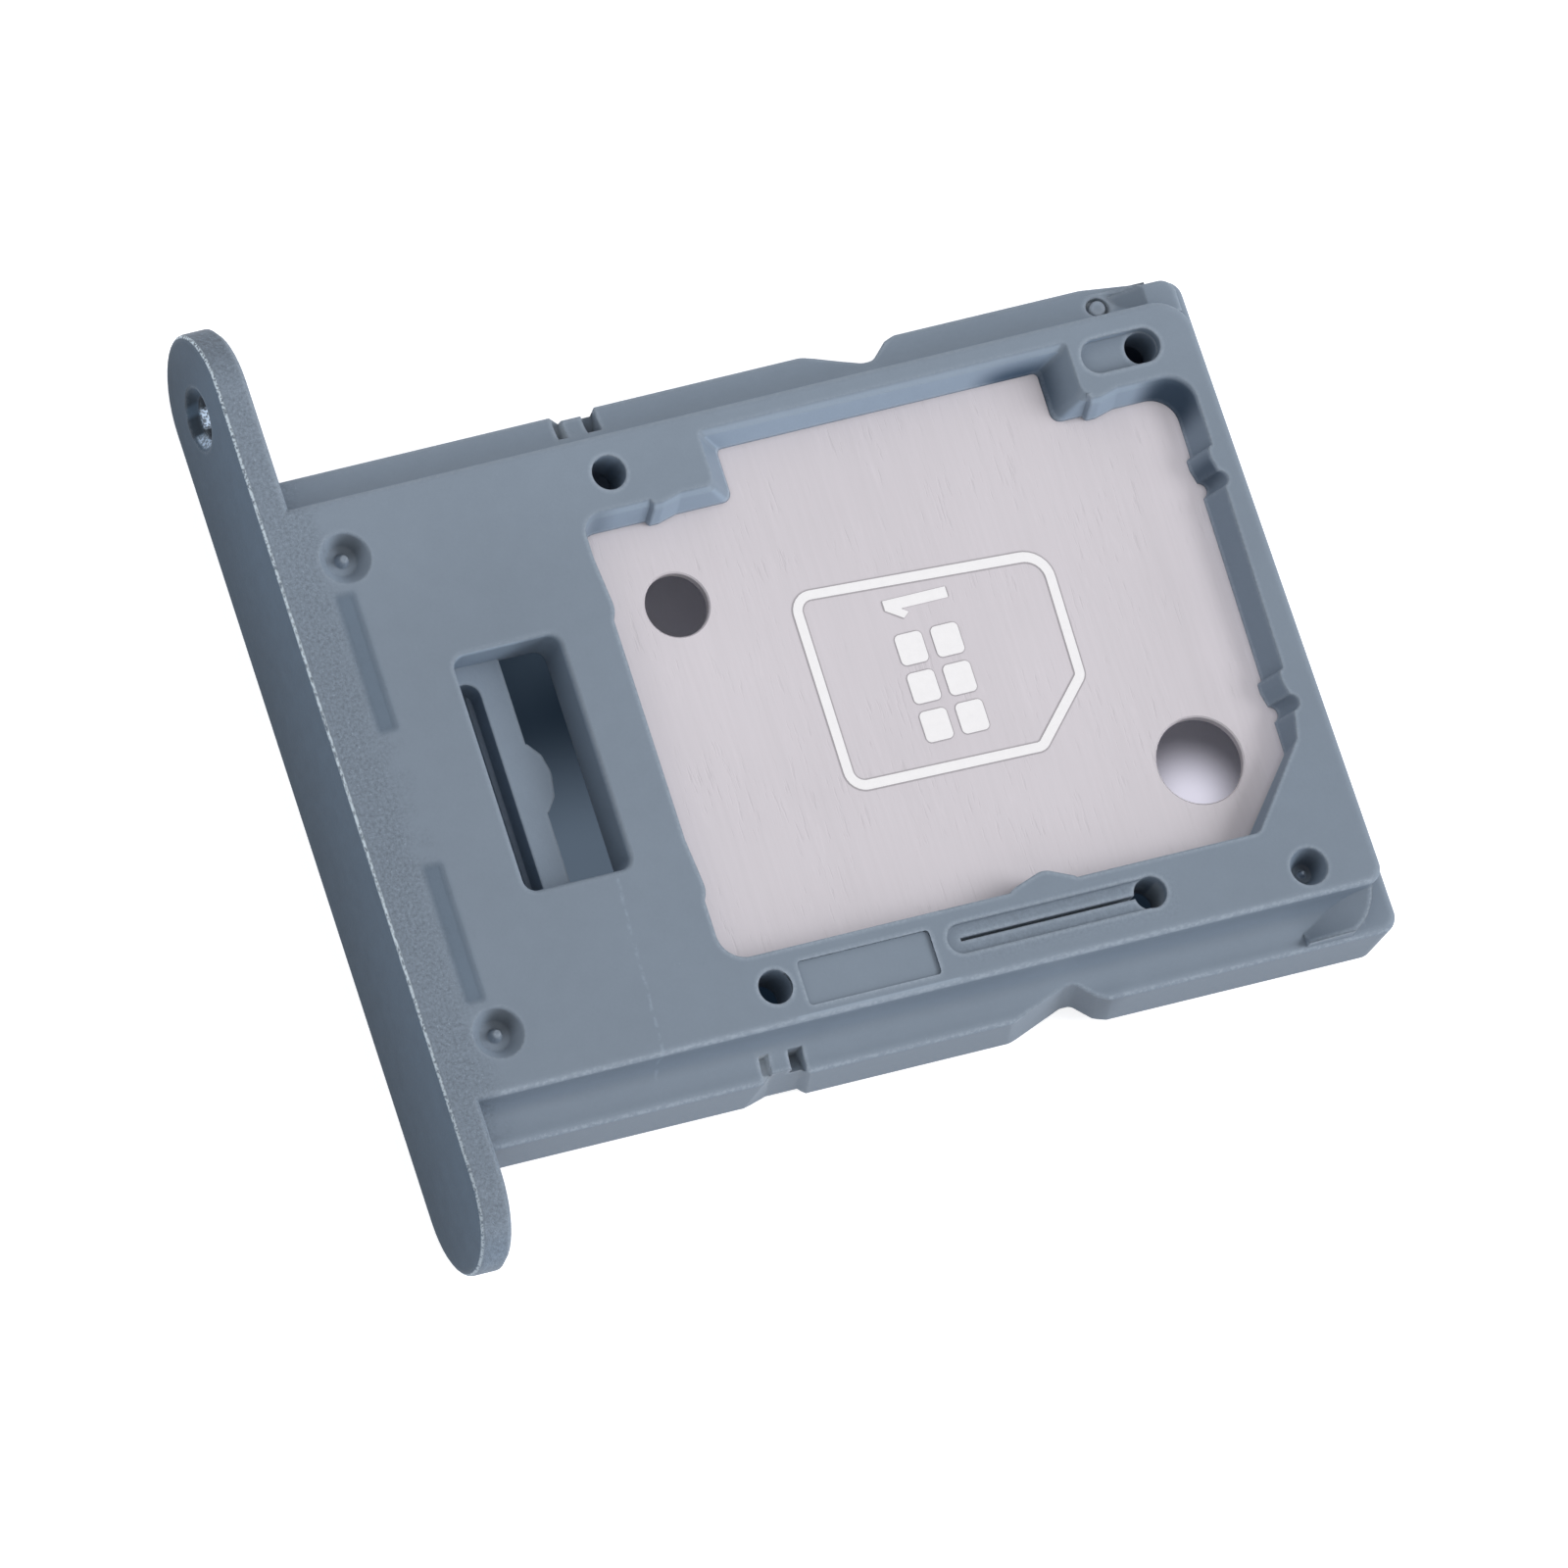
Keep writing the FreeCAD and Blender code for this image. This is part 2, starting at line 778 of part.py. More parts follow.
def shallow_recesses():
    """Plaque beside the pocket and the soft grooves beside the door."""
    plaque = [
        (plaque_x_start, plaque_y_low, plaque_radius),
        (plaque_x_end, plaque_y_low, plaque_radius),
        (plaque_x_end, plaque_y_high, plaque_radius),
        (plaque_x_start, plaque_y_high, plaque_radius),
    ]
    pieces = [prism(plaque, body_top - plaque_depth, body_top + through)]
    for near, far in ((soft_groove_from, soft_groove_to), (-soft_groove_to, -soft_groove_from)):
        wires = []
        for inset, level in ((soft_groove_slope, body_top - soft_groove_depth), (0.0, body_top)):
            low = soft_groove_x - soft_groove_width / 2.0 + inset
            high = soft_groove_x + soft_groove_width / 2.0 - inset
            radius = soft_groove_radius - inset
            corners = [
                (low, near + inset, radius),
                (high, near + inset, radius),
                (high, far - inset, radius),
                (low, far - inset, radius),
            ]
            wires.append(outline(corners, level))
        pieces.append(Part.makeLoft(wires, True, True))
    return pieces


def ramp_section(x, outer_level, shoulder_level, inner_level):
    """Cross-section of the far corner ramp as a wire of four sides."""
    base = ledge_level - rail_edge_round
    outer = -rail_half_width + ramp_inset
    shoulder = -rail_half_width + ramp_shoulder_inset
    inner = -layer_half_width + join_overlap
    edge = vector(x, outer, outer_level)
    end = vector(x, inner, inner_level)
    sides = [
        Part.makeLine(vector(x, inner, base), vector(x, outer, base)),
        Part.makeLine(vector(x, outer, base), edge),
        Part.Arc(edge, vector(x, shoulder, shoulder_level), end).toShape(),
        Part.makeLine(end, vector(x, inner, base)),
    ]
    return Part.Wire(sides)


def corner_ramp():
    """Pad at the far corner with a raised outer lip, rising to a rounded nose."""
    sections = [
        ramp_section(ramp_start, ramp_low, ramp_low_shoulder, ramp_low_inner),
        ramp_section(ramp_end, ramp_outer_level, ramp_shoulder_level, ramp_inner_level),
    ]
    pad = Part.makeLoft(sections, True, True)
    plan = [
        (ramp_start - through, -rail_half_width, 0.0),
        (ramp_nose_x, -rail_half_width, ramp_nose_radius),
        (ramp_nose_x, -layer_half_width + through, 0.0),
        (ramp_start - through, -layer_half_width + through, 0.0),
    ]
    return pad.common(prism(plan, rail_bottom, body_top))


def corner_block():
    """Low block around the other far corner of the upper layer, with a sloping start."""
    inner = layer_half_width - join_overlap
    outer = rail_half_width - end_block_inset
    base = ledge_level - join_overlap
    profile = [
        vector(end_block_start, inner, base),
        vector(end_block_start, inner, ledge_level),
        vector(end_block_crest, inner, end_block_level),
        vector(end_block_end, inner, end_block_level),
        vector(end_block_end, inner, base),
    ]
    face = Part.Face(Part.makePolygon(profile + profile[:1]))
    solid = face.extrude(vector(0.0, outer - inner, 0.0))
    corner = []
    for edge in solid.Edges:
        box = edge.BoundBox
        if box.XMin > end_block_end - tolerance and box.YMin > outer - tolerance:
            corner.append(edge)
    solid = solid.makeFillet(end_block_radius, corner)
    rim = []
    for edge in edges_at(solid, end_block_level):
        box = edge.BoundBox
        if box.YMax > inner + tolerance and box.XMax > end_block_crest + tolerance:
            rim.append(edge)
    return solid.makeFillet(end_block_round, rim)


def window_rim(body):
    """Edges of the window in the top face."""
    rim = []
    for edge in edges_at(body, body_top):
        box = edge.BoundBox
        inside_x = window_x_start - tolerance < box.XMin and box.XMax < window_x_end + tolerance
        inside_y = window_y_low - tolerance < box.YMin and box.YMax < window_y_high + tolerance
        if inside_x and inside_y:
            rim.append(edge)
    return rim


def tray():
    """Moulded tray: door, rails and layers less the pockets, holes and grooves."""
    body = block().cut(notches())
    body = door().fuse([body] + gussets() + [corner_block(), corner_ramp()]).removeSplitter()
    cuts = notch_slots() + upper_pocket() + wall_scoops() + lower_pocket() + window()
    cuts += round_features() + shallow_recesses()
    well_bottom = ledge_level - post_well_depth
    post_y = rail_half_width - post_inset
    cuts.append(upright(post_x, post_y, post_well_radius, well_bottom, ledge_level + through))
    body = body.cut(cuts)
    post = upright(post_x, post_y, post_radius, well_bottom - join_overlap, post_level)
    body = body.fuse(pocket_nubs() + [arm_bulge(), arm_foot(), post])
    body = body.cut(separator_sheet()).removeSplitter()
    return body.makeFillet(window_edge_round, window_rim(body))


def main():
    os.makedirs("parts", exist_ok=True)
    pieces = {"tray": tray(), "separator_sheet": separator_sheet()}
    box = pieces["tray"].optimalBoundingBox(False, False)
    place = vector(-box.Center.x, -box.Center.y, -box.ZMin)
    for name, shape in pieces.items():
        shape.translate(place)
        shape.exportStep("parts/" + name + ".step")


main()
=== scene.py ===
import math

import bmesh
import bpy
from mathutils import Matrix, Vector


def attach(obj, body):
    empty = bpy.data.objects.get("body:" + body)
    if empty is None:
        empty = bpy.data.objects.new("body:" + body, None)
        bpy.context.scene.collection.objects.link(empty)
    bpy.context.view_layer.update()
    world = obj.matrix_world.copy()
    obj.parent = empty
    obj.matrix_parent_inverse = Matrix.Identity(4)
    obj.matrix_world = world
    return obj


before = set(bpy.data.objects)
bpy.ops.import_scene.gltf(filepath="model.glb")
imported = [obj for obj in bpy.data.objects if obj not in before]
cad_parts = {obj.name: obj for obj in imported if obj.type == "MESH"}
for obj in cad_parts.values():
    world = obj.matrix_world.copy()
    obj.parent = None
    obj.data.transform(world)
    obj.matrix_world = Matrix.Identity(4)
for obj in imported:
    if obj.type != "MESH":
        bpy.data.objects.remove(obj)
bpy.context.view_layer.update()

MM = 0.001

# The part's own datum: X from the door's outer face, Y from the body's centre line.
DATUM = Vector((-9.947, -0.59, 0.0))

# Camera: axes of the view, the point on the top face at the image's centre, and the field.
VIEW_RIGHT = Vector((0.91672, -0.30146, 0.26219))
VIEW_UP = Vector((0.22241, 0.93022, 0.29193))
VIEW_BACK = Vector((-0.3319, -0.20931, 0.9198))
VIEW_TARGET = Vector((-1.461, -2.05, 3.0)) * MM
VIEW_DISTANCE = 1.2
VIEW_FIELD = 29.945 * MM
VIEW_END = 20.0
SENSOR = 10.0

# Light: azimuth and elevation in degrees, strength, spread in degrees
WORLD_FILL = 0.48
WORLD_SEEN = 1.0
SUNS = {
    "key": (-12.0, 37.0, 2.05, 34.0),
    "back": (135.0, 36.0, 0.4, 60.0),
    "side": (-95.0, 24.0, 0.6, 60.0),
}

# Floor: its size in metres and its drop below the tray in millimetres
FLOOR_SIZE = 4.0
FLOOR_DROP = 0.01

# Colours, linear
WHITE = (1.0, 1.0, 1.0, 1.0)
FLOOR = (0.72, 0.73, 0.75, 1.0)
FLOOR_GLOW = (0.7, 0.7, 0.7, 1.0)
# Painted shade and painted light on the floor under the tray, seen through its window and holes
UNDER_TRAY_PAINTED_SHADE = (0.125, 0.17, 0.225, 1.0)
UNDER_SHEET_PAINTED_LIGHT = (0.86, 0.84, 0.97, 1.0)
VOID_FAR_PAINTED_SHADE = (0.004, 0.009, 0.017, 1.0)
VOID_NEAR_PAINTED_SHADE = (0.083, 0.111, 0.149, 1.0)
PLASTIC = (0.205, 0.250, 0.309, 1.0)
# Wear and painted highlight on edges and lips
PLASTIC_WORN_AND_HIGHLIGHT = (0.36, 0.42, 0.50, 1.0)
# A painted highlight along the door's front edge
EDGE_PAINTED_HIGHLIGHT = (0.74, 0.86, 0.96, 1.0)
# Painted shade tint on walls
WALL_PAINTED_SHADE_TINT = (0.92, 0.96, 1.0, 1.0)
FACE_TINT = (0.36, 0.45, 0.52, 1.0)
# Painted shade in the pocket's dark places
GLOOM_PAINTED_SHADE_TINT = (0.17, 0.23, 0.29, 1.0)
# Painted light in small deep places
LIFTED_PAINTED_LIGHT = (0.50, 0.55, 0.60, 1.0)
GROOVE_TINT = (0.90, 0.97, 1.03, 1.0)
STEEL = (0.53, 0.503, 0.537, 1.0)
# Painted shadow round the print
PRINT_PAINTED_SHADOW = (0.37, 0.35, 0.375, 1.0)
INK = (0.86, 0.85, 0.87, 1.0)

# From here on, places and levels are in millimetres from the part's own datum.
# Two numbers are the start and end of a change, and three are a band's start, end and softness.
# A name that ends in RANGE is a level and its rise over a mask.
TOP = 3.0
SHEET_TOP = 2.32
RAIL_EDGE = 6.85

# Under the tray, painted on the floor: its footprint, the sheet in it, painted light through the large pilot
# hole, painted shade through the window
UNDER_X = (1.2, 19.6, 0.3)
UNDER_Y = (-5.6, 6.3, 0.3)
UNDER_SHEET_X = (6.4, 7.4)
UNDER_SHEET_Y = (-4.2, 4.9, 0.3)
PILOT_HOLE = (17.35, -2.95)
PAINTED_PILOT_LIGHT_REACH = (0.1, 1.3)
PAINTED_SHEET_LIGHT_RANGE = (0.046, 0.7)
VOID_Y = (-1.1, 1.6)

# Noise: cells a millimetre, detail, roughness, offset; a CUT is where it starts and ends counting
NOISE_MEAN = 0.5
CLOUD = (0.33, 3.0)
MOTTLE = (2.6, 4.0, 0.6)
GRAIN = (15.0, 3.0, 0.6)
FINE = (34.0, 2.0, 0.6, 7.0)
SPECK = (14.0, 3.0, 0.75, 31.0)
SPARKLE = (18.0, 1.0, 0.5, 57.0)
SPARKLE_CUT = (0.64, 0.76)
GLITTER = (20.0, 1.0, 0.5, 19.0)
GLITTER_CUT = (0.42, 0.56)
FLECKS = (13.0, 2.0, 0.65, 83.0)
FLECKS_CUT = (0.42, 0.62)
FLAWS = (3.6, 4.0, 0.7, 91.0)
FLAWS_CUT = (0.735, 0.76)
BROKEN_LINE = (6.0, 3.0, 0.6, 41.0)
BROKEN_LINE_CUT = (0.42, 0.62)
BROKEN_EDGE = (20.0, 1.0, 0.5, 83.0)
BROKEN_EDGE_CUT = (0.36, 0.54)

# Tone of the plastic: its level, the share of each noise, and the painted shade in corners
TONE_LEVEL = 0.91
CLOUD_GAIN = 0.11
MOTTLE_GAIN = 0.07
GRAIN_GAIN = 0.06
CORNER_PAINTED_SHADE_LOSS = 0.2

# Faces by the way that they turn
WALL_TURN = (0.45, 0.8)
DOOR_TURN = (-0.96, -0.8)
UP_TURN = (0.7, 0.9)
LOW_SIDE_TURN = (-0.85, -0.5)

# Door: its painted face, its two ends with a painted sheen at the -Y end, and the painted highlight along its
# front edge
DOOR_FACE_X = (0.05, 0.2)
FACE_HEIGHT = (0.2, 2.9)
FACE_RISE = 0.3
FACE_MOTTLE = 0.24
FACE_GRAIN = 0.2
FACE_LEVEL = 0.36
LOW_END_Y = (-8.9, -8.1)
LOW_END_X = (0.5, 0.66)
LOW_END_PAINTED_SHEEN_GAIN = 0.3
HIGH_END_Y = (8.6, 9.8)
HIGH_END_X = (0.7, 0.8)
HIGH_END_LOSS = 0.18
FRONT_EDGE_X = (0.035, 0.075)
FRONT_EDGE_CLEAR = (0.7, 0.72)
FRONT_EDGE_Y = (-9.0, -2.0)
FRONT_EDGE_RANGE = (0.5, 0.45)

# Pin hole in the door: its mouth, the painted glint low in it, its painted lit wall and its painted shade
PIN = (8.52, 1.5)
MOUTH = (0.42, 0.68, 0.03)
MOUTH_X = (0.19, 0.23)
GLINT_X = (-0.02, 0.2, 0.06)
GLINT_Y = (PIN[0] - 0.56, PIN[0] - 0.2, 0.1)
GLINT_RADIUS = (0.56, 0.62)
GLINT_START = (0.004, 0.02)
GLINT_RANGE = (0.3, 1.3)
BORE_RADIUS = (0.43, 0.45)
BORE_X = (0.6, 0.65)
BORE_PAINTED_SHADE_LOSS = 0.85
LIT_WALL_X = (0.07, 0.13)
LIT_WALL_Y = (PIN[0] - 0.1, PIN[0] + 0.26, 0.1)
LIT_WALL_PAINTED_LIGHT_RANGE = (0.6, 2.6)
SHADED_Y = (PIN[0] - 0.2, PIN[0] + 0.2, 0.1)
SHADED_END_Y = (PIN[0] + 0.34, PIN[0] + 0.44)
SHADED_Z = (1.2, 1.7)
SHADED_LOSS = 0.62

# Overspray beside the door
SPRAY_X = (0.55, 1.45)
SPRAY_WANDER = 1.1
SPRAY_FACE_LOSS = 0.85
SPRAY_GROOVE_LOSS = 0.8
SPRAY_LEVEL = 0.1
SPECK_GAIN = 1.15
SPARKLE_GAIN = 0.32

# Soft grooves beside the door, and the flat strip round each
GROOVE_X = (1.0, 1.4, 0.2)
GROOVE_Y = (1.36, 4.18, 0.2)
GROOVE_Z = (TOP - 0.2, TOP - 0.08)
GROOVE_LOSS = 0.27
STRIP_X = (0.85, 1.55, 0.1)
STRIP_Y = (1.2, 4.35, 0.1)

# Plaque with painted light on its wall, and the long channel with its slit, where light is painted too
PLAQUE_X = (7.3, 10.7, 0.1)
PLAQUE_Y = (-6.0, -4.6, 0.1)
PLAQUE_WALL_Z = (TOP - 0.055, TOP - 0.003, 0.006)
PLAQUE_WALL_PAINTED_LIGHT_GAIN = 0.4
CRUMBS_X = (10.9, 15.4, 0.5)
CRUMBS_Y = (-5.75, -4.85, 0.35)
CRUMBS_GAIN = 0.55
SLIT_X = (11.0, 15.3, 0.1)
SLIT_Y = (-5.5, -5.0, 0.05)
SLIT_Z = (2.6, 2.9)
SLIT_PAINTED_LIGHT_GAIN = 0.5
SHALLOW_Z = (TOP - 0.12, TOP - 0.1)

# Small insets of the rails and the post, lifted by painted light
INSET_X = (6.5, 7.6, 0.06)
INSET_Y = (6.2, 6.3)
INSET_FAR_X = (6.8, 7.1)
INSET_LEVEL = 0.5
POST = (17.88, 6.4)
POST_REACH = (0.3, 0.4)

# Dimples and cone: each painted shade or highlight's place from the centre, its reach and its strength
DIMPLES = ((1.43, 4.865), (1.43, -4.865))
DIMPLE_OPEN = (0.52, 0.6)
CONE = (18.13, -5.46)
SUNK_Z = (TOP - 0.05, TOP - 0.01)
BOWL_PAINTED_SHADE = ((0.3, 0.5), 0.14)
BOWL_DARK_PAINTED_SHADE = ((0.18, 0.24), (0.12, 0.44), 0.5)
BOWL_PAINTED_LIGHT = ((-0.2, -0.22), (0.05, 0.34), 0.16)
PIP_PAINTED_HIGHLIGHT = ((0.03, 0.1), 0.12)
CONE_PAINTED_SHADE = ((0.13, 0.15), (0.06, 0.32), 0.5)
CONE_PIP_PAINTED_HIGHLIGHT = ((0.05, 0.12), 0.9)

# Window with the spring arm, and the pocket's walls, where light is bounced in
WINDOW_X = (2.6, 5.2, 0.1)
WINDOW_Y = (-2.4, 2.6, 0.1)
WINDOW_Z = (TOP - 0.3, TOP - 0.1)
WINDOW_END_X = (2.6, 4.3, 0.5)
WINDOW_END_Y = (2.3, 2.7, 0.1)
POCKET_WALL_X = (6.8, 18.0, 0.6)
POCKET_WALL_Y = (3.6, 5.7, 0.2)
POCKET_WALL_Z = (TOP - 0.06, TOP - 0.01)
WALL_BOUNCE = 0.42
ARM_BOUNCE = 0.3

# Slow changes of tone over the tray, and painted shade on outer faces turned to -Y
SLOW_Y = (3.0, 6.0)
SLOW_Y_GAIN = 0.09
SLOW_X = (2.0, 7.0)
SLOW_X_LOSS = 0.04
OUTER_SIDE_Y = (-6.1, -5.9)
OUTER_SIDE_PAINTED_SHADE_LOSS = 0.12

# Mould line beside the window, and small bright flaws
LINE_LEAN = -0.054
LINE_WANDER = 0.12
LINE_X = (4.78, 4.84, 0.06)
LINE_Y = (-6.3, -2.4, 0.2)
FLAW_GAIN = 0.2

# Painted shade: places and how far it reaches
BELOW_TOP_Z = (TOP - 0.1, TOP - 0.01)
ABOVE_SHEET_Z = (SHEET_TOP - 0.1, SHEET_TOP)
FAR_CORNER = ((18.5, 4.12), 0.25, 0.8)
RECESS_END = ((15.72, 5.05), 0.35, 1.15)
RECESS_END_Z = (2.4, 3.05)
SCOOP = ((18.75, 2.57), 0.1, 0.42)
SCOOP_SHARE = 0.75
RAIL_NOTCH = ((13.64, -6.65), 0.15, 0.75)
RAIL_NOTCH_Z = (1.9, 2.1)
RAIL_NOTCH_SHARE = 0.4

# Wear and painted highlight on edges and on the lips of the rails
RIM_REACH = 0.11
RIM_CUT = (0.05, 0.38)
RIM_RANGE = (0.36, 0.26)
WELL_LOSS = 0.6
STRIP_LOSS = 1.0
GLOOM_LOSS = 0.8
CORNER_REACH = 0.35
LIP_Y = (5.98, 6.13, 0.08)
LIP_Z = (TOP - 0.16, TOP - 0.06)
LOW_LIP_Y = (RAIL_EDGE - 0.1, RAIL_EDGE - 0.03)
LOW_LIP_Z = (1.92, 2.3, 0.1)
LIP_START_X = (0.8, 1.2)
LIP_STRONG_Y = (-1.0, 1.0)
LIP_STRONG_RANGE = (0.45, 0.55)
LIP_RANGE = (0.34, 0.32)

# Relief and gloss of the plastic
GRAIN_HEIGHT = 0.6
FINE_HEIGHT = 0.4
SPECK_HEIGHT = 4.0
BEVEL_RADIUS = 0.08
PLASTIC_BUMP = 0.0035
PLASTIC_ROUGH_RANGE = (0.45, 0.14)
PLASTIC_SPECULAR = 0.14

# Steel: noise stretched along Y, its cuts and strengths, and the painted light towards the far wall
STREAK_STRETCH = (9.0, 0.35, 1.0)
STREAKS = (1.0, 3.0, 0.6)
WISP_STRETCH = (13.0, 1.5, 1.0)
WISPS = (1.0, 3.0, 0.6, 11.0)
WISP_DARK_CUT = (0.57, 0.7)
WISP_PALE_CUT = (0.3, 0.43)
GROUPS = (0.8, 2.0, 0.5, 23.0)
GROUPS_CUT = (0.4, 0.6)
STEEL_CLOUD = (0.22, 2.0)
STEEL_RANGE = (0.93, 0.12)
STREAK_GAIN = 0.14
WISP_GAIN = -0.055
PALE_GAIN = 0.03
FAR_WALL_X = (17.3, 18.9)
FAR_WALL_PAINTED_LIGHT_GAIN = 0.46
# Painted shade where the sheet meets the plastic
TOUCH_REACH = 0.12
TOUCH_PAINTED_SHADE_RANGE = (0.55, 0.45)
STREAK_HEIGHT = 0.5
STEEL_BUMP = 0.0022
STEEL_ROUGH_RANGE = (0.56, 0.14)
STEEL_METALLIC = 0.45

# Ink
INK_NOISE = (6.0, 3.0, 0.6)
INK_RANGE = (0.95, 0.08)
INK_GRAIN = (25.0, 2.0)
INK_BUMP = 0.001
INK_ROUGH = 0.5

# Print on the sheet: levels, width of the painted shadow round it and of the outline's stroke
PRINT_BOTTOM = SHEET_TOP - 0.005
PRINT_MIDDLE = SHEET_TOP + 0.004
PRINT_TOP = SHEET_TOP + 0.01
PRINT_SHADOW_WIDTH = 0.028
STROKE = 0.19

# Card outline: each corner's place, the way it moves as the outline grows, and its radius
CARD = [
    (9.95, -1.80, -1.0, -1.0, 0.42),
    (14.02, -1.88, 0.42, -1.0, 0.3),
    (15.25, -0.64, 1.0, -0.42, 0.3),
    (15.30, 1.99, 1.0, 1.0, 0.6),
    (9.98, 2.29, -1.0, 1.0, 0.42),
]
CARD_LEAST_RADIUS = 0.02
CARD_STEPS = 8
MARK_STEPS = 4

# Contact pads: rows and columns, first corner, size of one, gaps between them, corner radius
PAD_ROWS = 3
PAD_COLUMNS = 2
PAD_START = (11.77, -1.2)
PAD_SIZE = (0.56, 0.62)
PAD_GAPS = (0.19, 0.17)
PAD_RADIUS = 0.1

# Corners of the plain 1, and their radius
FIGURE = [(11.77, 1.72), (11.77, 1.52), (12.1, 1.3), (12.22, 1.4), (12.09, 1.5), (13.08, 1.5), (13.08, 1.72)]
FIGURE_RADIUS = 0.01

# Samples of the bevel and of the shading at edges and contacts
NODE_SAMPLES = 4


class Graph:
    """The node tree of a material or world, built by short calls."""

    def __init__(self, owner):
        self.owner = owner
        self.owner.use_nodes = True
        self.tree = owner.node_tree
        self.tree.nodes.clear()

    def node(self, kind, **values):
        """A node of that kind: settings by name, inputs by name or number."""
        made = self.tree.nodes.new("ShaderNode" + kind)
        for key, value in values.items():
            if key == "inputs":
                for socket, given in value.items():
                    self.feed(made.inputs[socket], given)
            else:
                setattr(made, key, value)
        return made

    def feed(self, socket, given):
        if isinstance(given, bpy.types.NodeSocket):
            self.tree.links.new(given, socket)
        else:
            socket.default_value = given

    def math(self, operation, first, second=0.0, clamp=False):
        made = self.node("Math", operation=operation, use_clamp=clamp)
        self.feed(made.inputs[0], first)
        self.feed(made.inputs[1], second)
        return made.outputs[0]

    def chain(self, operation, first, *others):
        for other in others:
            first = self.math(operation, first, other)
        return first

    def times(self, *values):
        return self.chain("MULTIPLY", *values)

    def plus(self, *values):
        return self.chain("ADD", *values)

    def most(self, *values):
        """The highest of the values."""
        return self.chain("MAXIMUM", *values)

    def less(self, first, second):
        return self.math("SUBTRACT", first, second)

    def without(self, value, mask, share=1.0):
        """The value, lowered by that share of itself where the mask is 1."""
        return self.times(value, self.less(1.0, self.times(mask, share)))

    def grown(self, value, amount):
        """The value, raised by that share of itself."""
        return self.times(value, self.plus(1.0, amount))

    def varied(self, start, *parts):
        """A number plus each value times its weight."""
        for value, weight in parts:
            start = self.plus(start, self.times(value, weight))
        return start

    def centred(self, noise):
        """Noise from -0.5 to 0.5."""
        return self.less(noise, NOISE_MEAN)

    def ranged(self, value, level, gain):
        """From level where the value is 0, rising by gain where it is 1."""
        return self.plus(level, self.times(value, gain))

    def step(self, value, start, end):
        """Smooth change from 0 at start to 1 at end."""
        made = self.node("MapRange", interpolation_type="SMOOTHSTEP")
        for name, given in (("Value", value), ("From Min", start), ("From Max", end)):
            self.feed(made.inputs[name], given)
        return made.outputs[0]

    def fade(self, value, start, end):
        """Smooth change from 1 at start to 0 at end."""
        return self.less(1.0, self.step(value, start, end))

    def between(self, value, low, high, soft):
        """1 between low and high, falling to 0 over a soft edge centred on each."""
        half = soft / 2.0
        return self.times(self.step(value, low - half, low + half), self.fade(value, high - half, high + half))

    def mix(self, factor, first, second, blend="MIX"):
        """Two colours mixed: the node's colours are its inputs 6 and 7 and its output 2."""
        made = self.node("Mix", data_type="RGBA", blend_type=blend)
        self.feed(made.inputs[0], factor)
        self.feed(made.inputs[6], first)
        self.feed(made.inputs[7], second)
        return made.outputs[2]

    def scaled(self, colour, factor):
        """The first three numbers of a colour, times a number."""
        return self.node("VectorMath", operation="SCALE", inputs={0: colour[:3], "Scale": factor}).outputs[0]

    def axes(self, vector):
        """X, Y and Z of a vector."""
        return self.node("SeparateXYZ", inputs={0: vector}).outputs

    def place(self):
        """Object position in millimetres from the part's own datum."""
        coords = self.node("TexCoord").outputs["Object"]
        per_metre = (1.0 / MM, 1.0 / MM, 1.0 / MM)
        return self.node(
            "VectorMath", operation="MULTIPLY_ADD", inputs={0: coords, 1: per_metre, 2: tuple(-DATUM)}
        ).outputs[0]

    def stretched(self, place, factors):
        return self.node("VectorMath", operation="MULTIPLY", inputs={0: place, 1: factors}).outputs[0]

    def distance(self, place, point):
        return self.node("VectorMath", operation="DISTANCE", inputs={0: place, 1: point}).outputs["Value"]

    def near(self, place, point, start, end):
        """1 within start of a point of the plan, falling to 0 at end."""
        plan = self.stretched(place, (1.0, 1.0, 0.0))
        return self.fade(self.distance(plan, point + (0.0,)), start, end)

    def noise(self, place, scale, detail=2.0, rough=0.5, offset=0.0):
        """Noise of about that many cells a millimetre, 0 to 1."""
        if offset:
            moved = self.node("VectorMath", operation="ADD", inputs={0: place, 1: (offset, offset, offset)})
            place = moved.outputs[0]
        inputs = {"Vector": place, "Scale": scale, "Detail": detail, "Roughness": rough}
        return self.node("TexNoise", inputs=inputs).outputs[0]

    def edges(self, reach, inside):
        """1 at edges (inside) or in corners (outside) of about that reach, 0 on open faces."""
        made = self.node("AmbientOcclusion", inside=inside, only_local=True, samples=NODE_SAMPLES)
        made.inputs["Distance"].default_value = reach * MM
        return self.less(1.0, made.outputs["AO"])

    def bump(self, height, distance, normal=None):
        made = self.node("Bump", inputs={"Height": height, "Distance": distance * MM})
        if normal is not None:
            self.feed(made.inputs["Normal"], normal)
        return made.outputs[0]

    def seen_directly(self):
        """1 for rays from the camera, from gloss and through glass."""
        rays = self.node("LightPath").outputs
        return self.most(rays["Is Camera Ray"], rays["Is Glossy Ray"], rays["Is Transmission Ray"])

    def finish(self, shader, kind="OutputMaterial"):
        self.node(kind, inputs={"Surface": shader})
        return self.owner


class Spot:
    """Where a point of the surface is, in millimetres, and which way it faces."""

    def __init__(self, graph):
        self.place = graph.place()
        self.x, self.y, self.z = graph.axes(self.place)
        self.side = graph.math("ABSOLUTE", self.y)
        turned = graph.node("TexCoord").outputs["Normal"]
        self.turned_x, self.turned_y, self.turned_z = graph.axes(turned)


